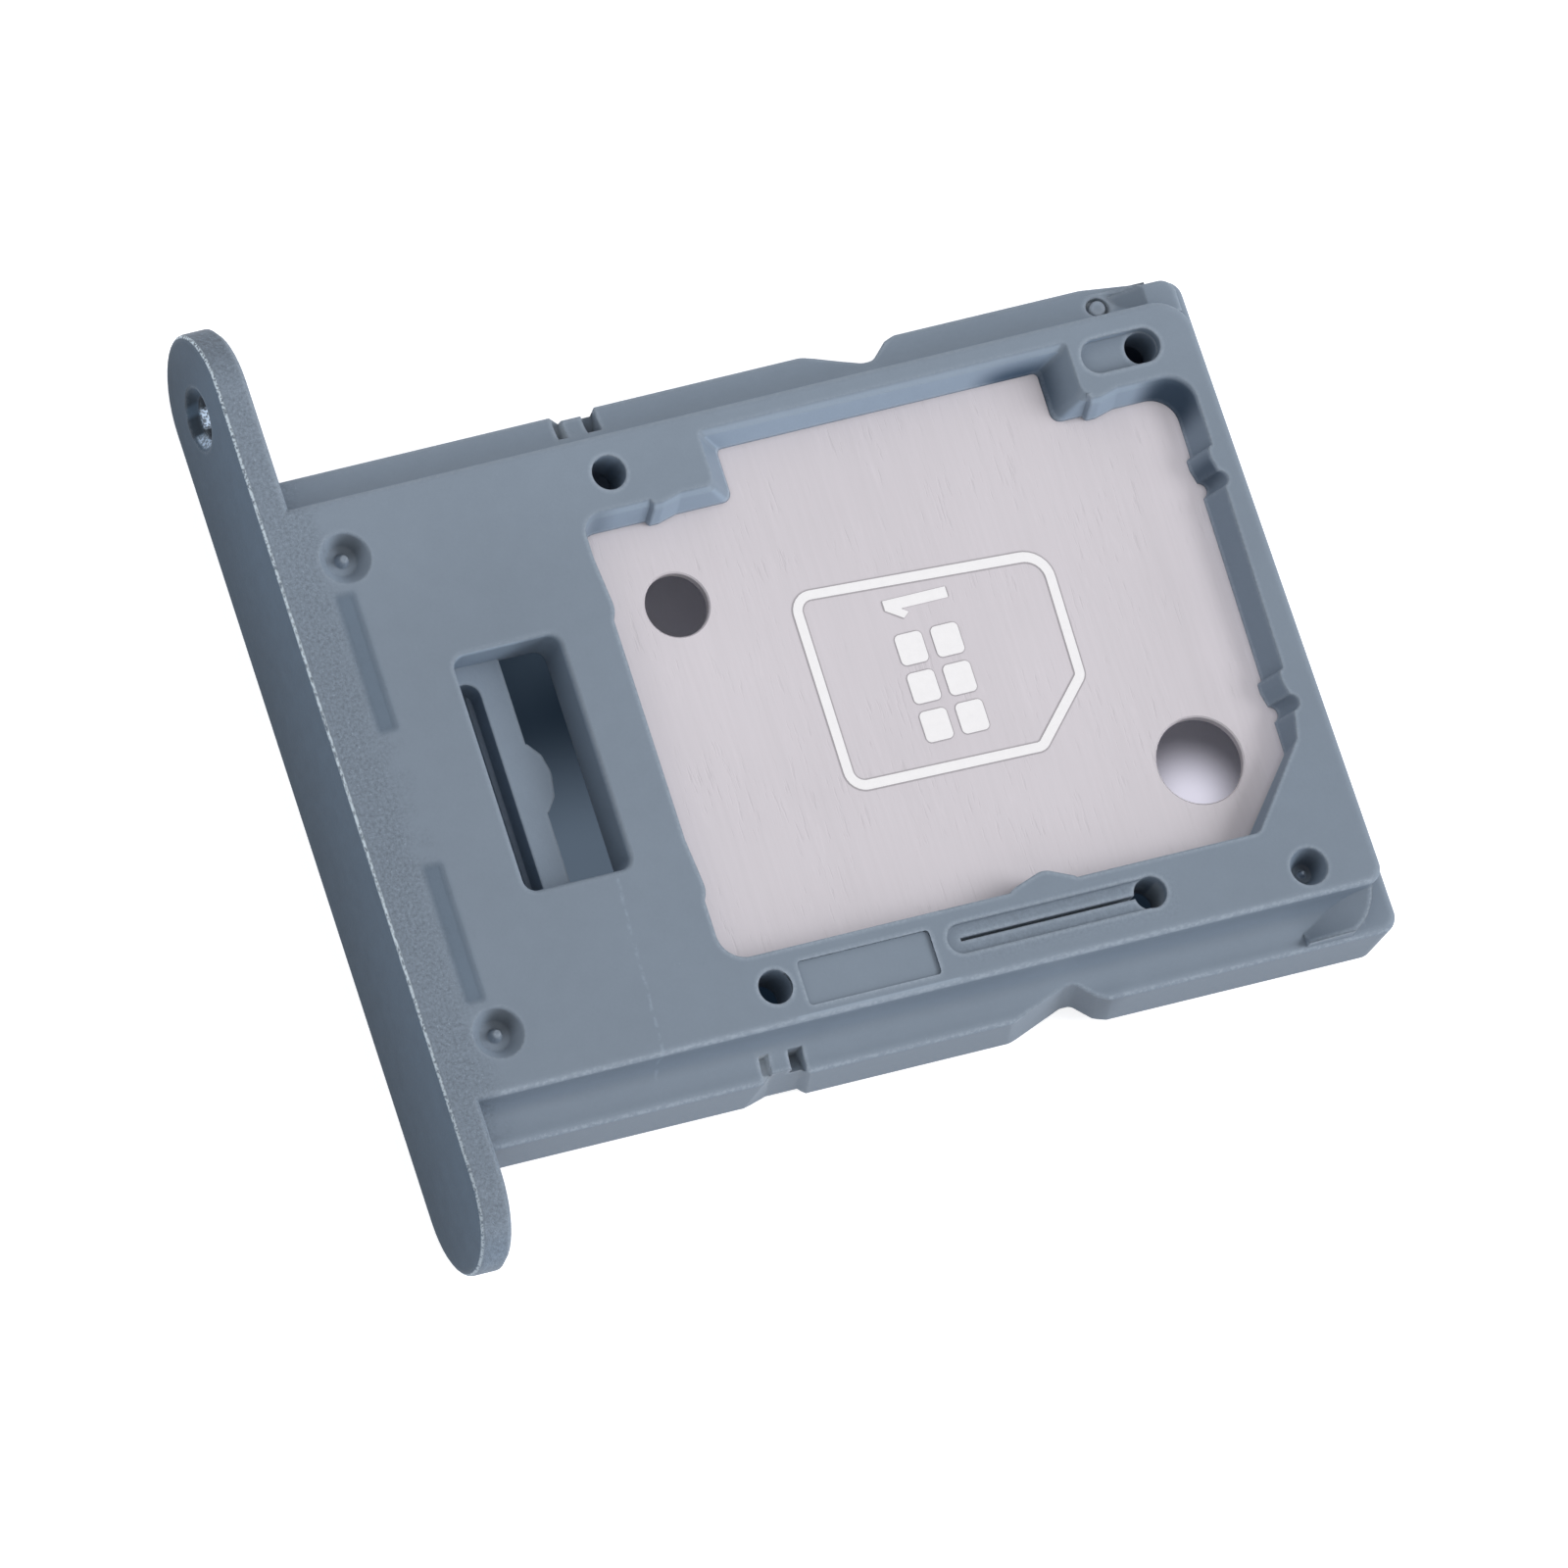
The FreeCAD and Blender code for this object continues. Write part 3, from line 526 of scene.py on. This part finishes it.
def look_at_photo():
    """The camera, far away with a long lens, along the photograph's line of sight."""
    data = bpy.data.cameras.new("camera")
    data.sensor_width = SENSOR
    data.lens = SENSOR * VIEW_DISTANCE / VIEW_FIELD
    data.clip_end = VIEW_END
    camera = bpy.data.objects.new("camera", data)
    place = Matrix((VIEW_RIGHT, VIEW_UP, VIEW_BACK)).transposed().to_4x4()
    place.translation = VIEW_TARGET + VIEW_BACK * VIEW_DISTANCE
    camera.matrix_world = place
    bpy.context.scene.collection.objects.link(camera)
    bpy.context.scene.camera = camera


def lamps():
    """Wide soft suns, each turned from its azimuth and elevation to the part."""
    for name, (azimuth, elevation, strength, spread) in SUNS.items():
        data = bpy.data.lights.new(name, "SUN")
        data.energy = strength
        data.angle = math.radians(spread)
        lamp = bpy.data.objects.new(name, data)
        turn = math.radians(azimuth)
        rise = math.radians(elevation)
        level = math.cos(rise)
        source = Vector((math.cos(turn) * level, math.sin(turn) * level, math.sin(rise)))
        lamp.rotation_euler = source.to_track_quat("Z", "Y").to_euler()
        bpy.context.scene.collection.objects.link(lamp)


def surroundings():
    """White world where it is seen, soft fill where it only lights."""
    scene = bpy.context.scene
    scene.view_settings.view_transform = "Standard"
    graph = Graph(bpy.data.worlds.new("studio"))
    shades = [
        graph.node("Background", inputs={"Color": WHITE, "Strength": strength}).outputs[0]
        for strength in (WORLD_FILL, WORLD_SEEN)
    ]
    mix = graph.node("MixShader", inputs={0: graph.seen_directly(), 1: shades[0], 2: shades[1]})
    scene.world = graph.finish(mix.outputs[0], "OutputWorld")


def floor():
    """Pale floor: white where it is open, keeping the tray's shadow, with painted shade under the tray and
    painted light and shade seen through its holes and window.
    """
    graph = Graph(bpy.data.materials.new("floor"))
    place = graph.place()
    x, y, _ = graph.axes(place)
    under = graph.times(graph.between(x, *UNDER_X), graph.between(y, *UNDER_Y))
    # Painted shade on the floor under the tray, tinted as painted light under the sheet
    past_rim = graph.step(x, *UNDER_SHEET_X)
    sheet = graph.times(past_rim, graph.between(y, *UNDER_SHEET_Y))
    tint = graph.mix(sheet, UNDER_TRAY_PAINTED_SHADE, UNDER_SHEET_PAINTED_LIGHT)
    diffuse = graph.node("BsdfDiffuse", inputs={"Color": graph.mix(under, FLOOR, tint)})
    # Painted light through the large pilot hole, painted shade through the window and past the rim
    painted_light_patch = graph.near(place, PILOT_HOLE, *PAINTED_PILOT_LIGHT_REACH)
    painted_sheet_light = graph.scaled(UNDER_SHEET_PAINTED_LIGHT, graph.ranged(painted_light_patch, *PAINTED_SHEET_LIGHT_RANGE))
    painted_window_shade = graph.mix(graph.fade(y, *VOID_Y), VOID_FAR_PAINTED_SHADE, VOID_NEAR_PAINTED_SHADE)
    painted_rim_shade = graph.mix(past_rim, painted_window_shade, VOID_FAR_PAINTED_SHADE)
    glow_with_painted_light = graph.mix(under, FLOOR_GLOW, graph.mix(sheet, painted_rim_shade, painted_sheet_light))
    emission = graph.node("Emission", inputs={"Color": glow_with_painted_light, "Strength": graph.seen_directly()})
    both = graph.node("AddShader", inputs={0: diffuse.outputs[0], 1: emission.outputs[0]})
    bpy.ops.mesh.primitive_plane_add(size=FLOOR_SIZE, location=(0.0, 0.0, -FLOOR_DROP * MM))
    made = bpy.context.object
    made.name = "floor"
    made.data.materials.append(graph.finish(both.outputs[0]))


def find_painted_lift(graph, spot, corner):
    """Mask of painted light in small deep places that the photograph shows lighter than plain shadow."""
    inset = graph.times(graph.between(spot.x, *INSET_X), graph.step(spot.side, *INSET_Y))
    inset = graph.times(inset, graph.plus(INSET_LEVEL, graph.fade(spot.x, *INSET_FAR_X)))
    post = graph.near(spot.place, POST, *POST_REACH)
    slit = graph.times(graph.between(spot.x, *SLIT_X), graph.between(spot.y, *SLIT_Y))
    slit = graph.times(slit, graph.fade(spot.z, *SLIT_Z), SLIT_PAINTED_LIGHT_GAIN)
    return graph.most(graph.math("MULTIPLY", graph.most(inset, post), corner, True), slit)


def shade_dimples(graph, spot, shade):
    """Dimples: painted shade in the bowl, darkest towards +X +Y, a painted lit side and a painted highlight on
    the pip; the cone has painted shade and a painted highlight on its pip.
    """
    sunk = graph.fade(spot.z, *SUNK_Z)

    def part(centre, moved, reach, strength):
        place = (centre[0] + moved[0], centre[1] + moved[1])
        return graph.times(graph.near(spot.place, place, *reach), strength)

    for centre in DIMPLES:
        bowl = graph.plus(part(centre, (0.0, 0.0), *BOWL_PAINTED_SHADE), part(centre, *BOWL_DARK_PAINTED_SHADE))
        shade = graph.without(shade, bowl, sunk)
        shade = graph.plus(shade, graph.times(part(centre, *BOWL_PAINTED_LIGHT), sunk))
        shade = graph.plus(shade, part(centre, (0.0, 0.0), *PIP_PAINTED_HIGHLIGHT))
    shade = graph.without(shade, part(CONE, *CONE_PAINTED_SHADE), sunk)
    return graph.plus(shade, part(CONE, (0.0, 0.0), *CONE_PIP_PAINTED_HIGHLIGHT))


def shade_pin_hole(graph, spot, shade, from_pin, mouth, low_glint):
    """Pin hole: painted shade in the bore and on the mouth, with a painted lit wall and a painted glint, both
    sparkling.
    """
    bore = graph.times(graph.fade(from_pin, *BORE_RADIUS), graph.fade(spot.x, *BORE_X))
    glitter = graph.step(graph.noise(spot.place, *GLITTER), *GLITTER_CUT)
    painted_lit_wall = graph.times(graph.step(spot.x, *LIT_WALL_X), graph.between(spot.y, *LIT_WALL_Y))
    painted_lit_wall = graph.times(painted_lit_wall, graph.ranged(glitter, *LIT_WALL_PAINTED_LIGHT_RANGE))
    shade = graph.without(shade, bore, BORE_PAINTED_SHADE_LOSS)
    shade = graph.plus(shade, graph.times(bore, painted_lit_wall))
    shaded_y = graph.most(graph.between(spot.y, *SHADED_Y), graph.step(spot.y, *SHADED_END_Y))
    shaded = graph.times(mouth, shaded_y, graph.fade(spot.z, *SHADED_Z))
    shade = graph.without(shade, shaded, SHADED_LOSS)
    return graph.plus(shade, graph.times(low_glint, graph.ranged(glitter, *GLINT_RANGE)))


def shade_door(graph, spot, shade, face, mottle, grain):
    """Door: a painted sheen at the -Y end, darker rim at the +Y end, face paler upwards."""
    painted_sheen_low_end = graph.times(graph.fade(spot.y, *LOW_END_Y), graph.fade(spot.x, *LOW_END_X))
    painted_sheen_low_end = graph.without(painted_sheen_low_end, face)
    high_end = graph.times(graph.step(spot.y, *HIGH_END_Y), graph.fade(spot.x, *HIGH_END_X))
    shade = graph.grown(shade, graph.times(painted_sheen_low_end, LOW_END_PAINTED_SHEEN_GAIN))
    shade = graph.without(shade, high_end, HIGH_END_LOSS)
    uneven = graph.times(graph.step(spot.z, *FACE_HEIGHT), FACE_RISE)
    uneven = graph.varied(uneven, (mottle, FACE_MOTTLE), (grain, FACE_GRAIN))
    return graph.grown(shade, graph.times(face, graph.less(uneven, FACE_LEVEL)))


def find_painted_gloom(graph, spot):
    """Mask of painted shade in the pocket's far corner, recess end and scoop, and in the rail's notch."""
    pocket = graph.times(graph.fade(spot.z, *BELOW_TOP_Z), graph.step(spot.z, *ABOVE_SHEET_Z))
    far_corner = graph.near(spot.place, *FAR_CORNER)
    recess_end = graph.times(graph.near(spot.place, *RECESS_END), graph.fade(spot.z, *RECESS_END_Z))
    scoop = graph.times(graph.near(spot.place, *SCOOP), SCOOP_SHARE)
    rail_notch = graph.times(graph.near(spot.place, *RAIL_NOTCH), graph.fade(spot.z, *RAIL_NOTCH_Z))
    painted_gloom = graph.times(pocket, graph.most(far_corner, scoop, recess_end))
    return graph.most(painted_gloom, graph.times(rail_notch, RAIL_NOTCH_SHARE))


def find_lip_highlights(graph, spot, flecks):
    """Mask of the wear and painted highlight along the lips of both steps of the rails, stronger on the -Y
    side.
    """
    lip = graph.times(graph.between(spot.side, *LIP_Y), graph.step(spot.z, *LIP_Z))
    low_lip = graph.times(graph.step(spot.side, *LOW_LIP_Y), graph.between(spot.z, *LOW_LIP_Z))
    lips = graph.times(graph.most(lip, low_lip), graph.step(spot.x, *LIP_START_X))
    strong = graph.ranged(graph.fade(spot.y, *LIP_STRONG_Y), *LIP_STRONG_RANGE)
    return graph.times(lips, graph.ranged(flecks, *LIP_RANGE), strong)


def find_front_edge_highlight(graph, spot, face, from_pin):
    """Mask of the broken painted highlight along the door's front edge."""
    front = graph.without(graph.fade(spot.x, *FRONT_EDGE_X), face)
    broken = graph.step(graph.noise(spot.place, *BROKEN_EDGE), *BROKEN_EDGE_CUT)
    strength = graph.ranged(graph.step(spot.y, *FRONT_EDGE_Y), *FRONT_EDGE_RANGE)
    return graph.times(front, broken, graph.step(from_pin, *FRONT_EDGE_CLEAR), strength)


def find_mould_line(graph, spot, mottle_off):
    """Mask of the faint broken mould line beside the window."""
    line = graph.varied(spot.x, (spot.y, LINE_LEAN), (mottle_off, LINE_WANDER))
    line = graph.times(graph.between(line, *LINE_X), graph.between(spot.y, *LINE_Y))
    return graph.times(line, graph.step(graph.noise(spot.place, *BROKEN_LINE), *BROKEN_LINE_CUT))


def plastic():
    """Satin moulded plastic, with a painted door and rough overspray beside it."""
    graph = Graph(bpy.data.materials.new("plastic"))
    spot = Spot(graph)
    place, x, y, z, side = spot.place, spot.x, spot.y, spot.z, spot.side

    cloud = graph.noise(place, *CLOUD)
    mottle = graph.noise(place, *MOTTLE)
    mottle_off = graph.centred(mottle)
    grain = graph.noise(place, *GRAIN)
    fine = graph.noise(place, *FINE)
    speck = graph.centred(graph.noise(place, *SPECK))
    sparkle = graph.step(graph.noise(place, *SPARKLE), *SPARKLE_CUT)
    flecks = graph.step(graph.noise(place, *FLECKS), *FLECKS_CUT)

    # Zones: walls, the door's painted face, the pin hole's mouth, soft grooves, plaque, window
    walls = graph.fade(graph.math("ABSOLUTE", spot.turned_z), *WALL_TURN)
    from_pin = graph.distance(graph.stretched(place, (0.0, 1.0, 1.0)), (0.0,) + PIN)
    mouth = graph.times(graph.between(from_pin, *MOUTH), graph.fade(x, *MOUTH_X))
    low_glint = graph.times(graph.between(x, *GLINT_X), graph.between(y, *GLINT_Y))
    low_glint = graph.times(low_glint, graph.fade(from_pin, *GLINT_RADIUS), graph.step(x, *GLINT_START))
    face = graph.times(graph.fade(spot.turned_x, *DOOR_TURN), graph.fade(x, *DOOR_FACE_X))
    face = graph.without(graph.most(face, mouth), low_glint)
    groove = graph.times(graph.between(x, *GROOVE_X), graph.between(side, *GROOVE_Y))
    groove = graph.times(groove, graph.step(z, *GROOVE_Z))
    strip = graph.times(graph.between(x, *STRIP_X), graph.between(side, *STRIP_Y))
    plaque = graph.times(graph.between(x, *PLAQUE_X), graph.between(y, *PLAQUE_Y))
    well = graph.times(graph.between(x, *WINDOW_X), graph.fade(z, *WINDOW_Z), graph.between(y, *WINDOW_Y))
    # Convex edges, for wear and painted highlight, and corners, for painted shade
    wear = graph.edges(RIM_REACH, True)
    corner = graph.edges(CORNER_REACH, False)

    # Overspray fades out over an uneven line; the grooves and the flat face stay smooth
    spray = graph.fade(graph.varied(x, (mottle_off, SPRAY_WANDER)), *SPRAY_X)
    rough_zone = graph.without(graph.without(spray, face, SPRAY_FACE_LOSS), groove, SPRAY_GROOVE_LOSS)

    # Tone: clouds, mottle and grain, darker grooves, painted shade in corners, specks in the overspray
    tones = ((cloud, CLOUD_GAIN), (mottle_off, MOTTLE_GAIN), (graph.centred(grain), GRAIN_GAIN))
    shade = graph.varied(TONE_LEVEL, *tones)
    shade = graph.without(shade, groove, GROOVE_LOSS)
    open_top = graph.less(1.0, plaque)
    for centre in DIMPLES:
        open_top = graph.less(open_top, graph.near(place, centre, *DIMPLE_OPEN))
    shade = graph.without(shade, graph.times(corner, open_top), CORNER_PAINTED_SHADE_LOSS)
    specks = graph.plus(graph.times(speck, SPECK_GAIN), graph.times(sparkle, SPARKLE_GAIN))
    shade = graph.plus(shade, graph.times(rough_zone, graph.less(specks, SPRAY_LEVEL)))
    crumbs = graph.times(graph.between(x, *CRUMBS_X), graph.between(y, *CRUMBS_Y), speck)
    shade = graph.plus(shade, graph.times(crumbs, CRUMBS_GAIN))
    shade = shade_dimples(graph, spot, shade)

    # Bounced light on the spring arm, on the window's +Y wall and on pocket walls that face -Y
    low_side = graph.fade(spot.turned_y, *LOW_SIDE_TURN)
    window_end = graph.times(graph.between(x, *WINDOW_END_X), graph.between(y, *WINDOW_END_Y))
    pocket_wall = graph.times(graph.between(y, *POCKET_WALL_Y), graph.between(x, *POCKET_WALL_X))
    pocket_wall = graph.times(pocket_wall, graph.fade(z, *POCKET_WALL_Z))
    bounce = graph.times(graph.most(window_end, pocket_wall), low_side, WALL_BOUNCE)
    arm = graph.times(well, graph.step(spot.turned_z, *UP_TURN))
    shade = graph.grown(shade, graph.varied(bounce, (arm, ARM_BOUNCE)))

    shade = shade_pin_hole(graph, spot, shade, from_pin, mouth, low_glint)
    shade = shade_door(graph, spot, shade, face, mottle, grain)

    # Slow changes of tone, painted shade on outer faces turned to -Y, painted light on the plaque's wall, the
    # mould line and flaws
    slow = graph.times(graph.step(y, *SLOW_Y), SLOW_Y_GAIN)
    slow = graph.less(slow, graph.times(graph.fade(x, *SLOW_X), SLOW_X_LOSS))
    outer = graph.times(low_side, graph.fade(y, *OUTER_SIDE_Y))
    shade = graph.grown(shade, graph.less(slow, graph.times(outer, OUTER_SIDE_PAINTED_SHADE_LOSS)))
    plaque_wall = graph.times(plaque, graph.between(z, *PLAQUE_WALL_Z))
    shade = graph.plus(shade, graph.times(plaque_wall, PLAQUE_WALL_PAINTED_LIGHT_GAIN))
    flaws = graph.step(graph.noise(place, *FLAWS), *FLAWS_CUT)
    flaws = graph.most(find_mould_line(graph, spot, mottle_off), flaws)
    shade = graph.plus(shade, graph.times(flaws, FLAW_GAIN))

    # Colour: the plastic's own, tinted by zone, lifted by painted light, wear and painted highlight on rims
    # and lips, painted highlight on the front edge
    painted_gloom = find_painted_gloom(graph, spot)
    colour = graph.scaled(PLASTIC, shade)
    # The tints on walls and in the pocket's dark places are painted shade; the face's and grooves' tints are
    # their own colour
    tints = ((walls, WALL_PAINTED_SHADE_TINT), (face, FACE_TINT), (painted_gloom, GLOOM_PAINTED_SHADE_TINT), (groove, GROOVE_TINT))
    for mask, tint in tints:
        colour = graph.mix(mask, colour, tint, "MULTIPLY")
    colour = graph.mix(find_painted_lift(graph, spot, corner), colour, LIFTED_PAINTED_LIGHT)
    worn_and_highlight = graph.times(graph.step(wear, *RIM_CUT), graph.ranged(flecks, *RIM_RANGE))
    for mask, share in ((well, WELL_LOSS), (strip, STRIP_LOSS), (painted_gloom, GLOOM_LOSS)):
        worn_and_highlight = graph.without(worn_and_highlight, mask, share)
    colour = graph.mix(graph.most(worn_and_highlight, find_lip_highlights(graph, spot, flecks)), colour, PLASTIC_WORN_AND_HIGHLIGHT)
    colour = graph.mix(find_front_edge_highlight(graph, spot, face, from_pin), colour, EDGE_PAINTED_HIGHLIGHT)

    # Relief: fine grain, coarse specks in the overspray, soft edges, none at shallow steps
    height = graph.plus(graph.times(grain, GRAIN_HEIGHT), graph.times(fine, FINE_HEIGHT))
    coarse = graph.times(graph.plus(graph.times(speck, SPECK_HEIGHT), sparkle), rough_zone)
    bevel = graph.node("Bevel", samples=NODE_SAMPLES)
    bevel.inputs["Radius"].default_value = BEVEL_RADIUS * MM
    shallow = graph.times(graph.most(strip, plaque), graph.step(z, *SHALLOW_Z))
    flat = graph.node("Mix", data_type="VECTOR", inputs={0: shallow, 4: bevel.outputs[0], 5: (0.0, 0.0, 1.0)})
    inputs = {
        "Base Color": colour,
        "Roughness": graph.ranged(grain, *PLASTIC_ROUGH_RANGE),
        "Normal": graph.bump(graph.plus(height, coarse), PLASTIC_BUMP, flat.outputs[1]),
        "Specular IOR Level": PLASTIC_SPECULAR,
    }
    return graph.finish(graph.node("BsdfPrincipled", inputs=inputs).outputs[0])


def steel():
    """Rolled sheet: faint streaks and short wisps along Y, painted shade where it meets the plastic, painted
    light towards the far wall.
    """
    graph = Graph(bpy.data.materials.new("steel"))
    place = graph.place()
    x = graph.axes(place)[0]
    streaks = graph.noise(graph.stretched(place, STREAK_STRETCH), *STREAKS)
    short = graph.noise(graph.stretched(place, WISP_STRETCH), *WISPS)
    groups = graph.step(graph.noise(place, *GROUPS), *GROUPS_CUT)
    wisps = graph.times(graph.step(short, *WISP_DARK_CUT), groups)
    glints = graph.times(graph.fade(short, *WISP_PALE_CUT), groups)
    contact_shade = graph.node("AmbientOcclusion", samples=NODE_SAMPLES)
    contact_shade.inputs["Distance"].default_value = TOUCH_REACH * MM
    shade = graph.ranged(graph.noise(place, *STEEL_CLOUD), *STEEL_RANGE)
    shade = graph.varied(shade, (graph.centred(streaks), STREAK_GAIN), (wisps, WISP_GAIN), (glints, PALE_GAIN))
    # Painted light towards the far wall
    shade = graph.grown(shade, graph.times(graph.step(x, *FAR_WALL_X), FAR_WALL_PAINTED_LIGHT_GAIN))
    # Painted shade where the sheet meets the plastic
    shade = graph.times(shade, graph.ranged(contact_shade.outputs["AO"], *TOUCH_PAINTED_SHADE_RANGE))
    relief = graph.less(graph.times(streaks, STREAK_HEIGHT), wisps)
    inputs = {
        "Base Color": graph.scaled(STEEL, shade),
        "Roughness": graph.ranged(streaks, *STEEL_ROUGH_RANGE),
        "Normal": graph.bump(relief, STEEL_BUMP),
        "Metallic": STEEL_METALLIC,
    }
    return graph.finish(graph.node("BsdfPrincipled", inputs=inputs).outputs[0])


def ink(name, shown):
    """Thin print, slightly uneven; also the painted shadow round the print."""
    graph = Graph(bpy.data.materials.new(name))
    place = graph.place()
    shade = graph.ranged(graph.noise(place, *INK_NOISE), *INK_RANGE)
    inputs = {
        "Base Color": graph.scaled(shown, shade),
        "Roughness": INK_ROUGH,
        "Normal": graph.bump(graph.noise(place, *INK_GRAIN), INK_BUMP),
    }
    return graph.finish(graph.node("BsdfPrincipled", inputs=inputs).outputs[0])


def dress(node, material):
    """Give a CAD node that material alone."""
    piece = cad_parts[node]
    piece.data.materials.clear()
    piece.data.materials.append(material)


def rounded(corners, steps):
    """Points round a closed outline with corners given as (x, y, radius)."""
    points = []
    for index, (x, y, radius) in enumerate(corners):
        here = Vector((x, y))
        back = (Vector(corners[index - 1][:2]) - here).normalized()
        ahead = (Vector(corners[(index + 1) % len(corners)][:2]) - here).normalized()
        half = back.angle(ahead) / 2.0
        run = radius / math.tan(half)
        centre = here + (back + ahead).normalized() * (radius / math.sin(half))
        first = here + back * run - centre
        last = here + ahead * run - centre
        for step in range(steps + 1):
            points.append(centre + first.lerp(last, step / steps).normalized() * radius)
    return points


def slab(name, rings, top, material):
    """Thin flat piece from the print's bottom, over one outline or between two that match."""
    mesh = bmesh.new()
    levels = []
    for ring in rings:
        for level in (PRINT_BOTTOM, top):
            places = [(Vector((p.x, p.y, level)) + DATUM) * MM for p in ring]
            levels.append([mesh.verts.new(place) for place in places])
    count = len(rings[0])
    pairs = [(levels[0], levels[1])]
    if len(rings) > 1:
        pairs += [(levels[1], levels[3]), (levels[3], levels[2]), (levels[2], levels[0])]
    else:
        mesh.faces.new(levels[1])
        mesh.faces.new(levels[0][::-1])
    for lower, upper in pairs:
        for index in range(count):
            after = (index + 1) % count
            mesh.faces.new((lower[index], lower[after], upper[after], upper[index]))
    bmesh.ops.recalc_face_normals(mesh, faces=mesh.faces)
    data = bpy.data.meshes.new(name)
    mesh.to_mesh(data)
    mesh.free()
    data.materials.append(material)
    piece = bpy.data.objects.new(name, data)
    bpy.context.scene.collection.objects.link(piece)
    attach(piece, "root")


def card(grown, shrunk):
    """The card's outer ring moved out and its inner ring moved in."""
    rings = []
    for moved in (grown, -shrunk):
        corners = [
            (x + along * moved, y + across * moved, max(radius + moved, CARD_LEAST_RADIUS))
            for x, y, along, across, radius in CARD
        ]
        rings.append(rounded(corners, CARD_STEPS))
    return rings


def mark(name, corners, radius, white, edge):
    """One filled mark, over its own thin painted shadow."""
    middle = sum((Vector(corner) for corner in corners), Vector((0.0, 0.0))) / len(corners)
    inner = []
    outer = []
    for x, y in corners:
        out = (Vector((x, y)) - middle).normalized() * PRINT_SHADOW_WIDTH
        inner.append((x, y, radius))
        outer.append((x + out.x, y + out.y, radius + PRINT_SHADOW_WIDTH))
    slab(name + "_edge", [rounded(outer, MARK_STEPS)], PRINT_MIDDLE, edge)
    slab(name, [rounded(inner, MARK_STEPS)], PRINT_TOP, white)


def print_marks():
    """White print on the sheet: the outline of a card, a set of contact pads and a plain 1, each over a
    painted shadow.
    """
    white = ink("ink", INK)
    edge = ink("ink_edge", PRINT_PAINTED_SHADOW)
    slab("card_outline_edge", card(PRINT_SHADOW_WIDTH, STROKE + PRINT_SHADOW_WIDTH), PRINT_MIDDLE, edge)
    slab("card_outline", card(0.0, STROKE), PRINT_TOP, white)
    long, wide = PAD_SIZE
    for row in range(PAD_ROWS):
        for column in range(PAD_COLUMNS):
            x = PAD_START[0] + column * (long + PAD_GAPS[0])
            y = PAD_START[1] + row * (wide + PAD_GAPS[1])
            corners = [(x, y), (x + long, y), (x + long, y + wide), (x, y + wide)]
            mark("pad_%d_%d" % (row, column), corners, PAD_RADIUS, white, edge)
    mark("figure_1", FIGURE, FIGURE_RADIUS, white, edge)


look_at_photo()
lamps()
surroundings()
floor()
dress("tray", plastic())
dress("separator_sheet", steel())
print_marks()
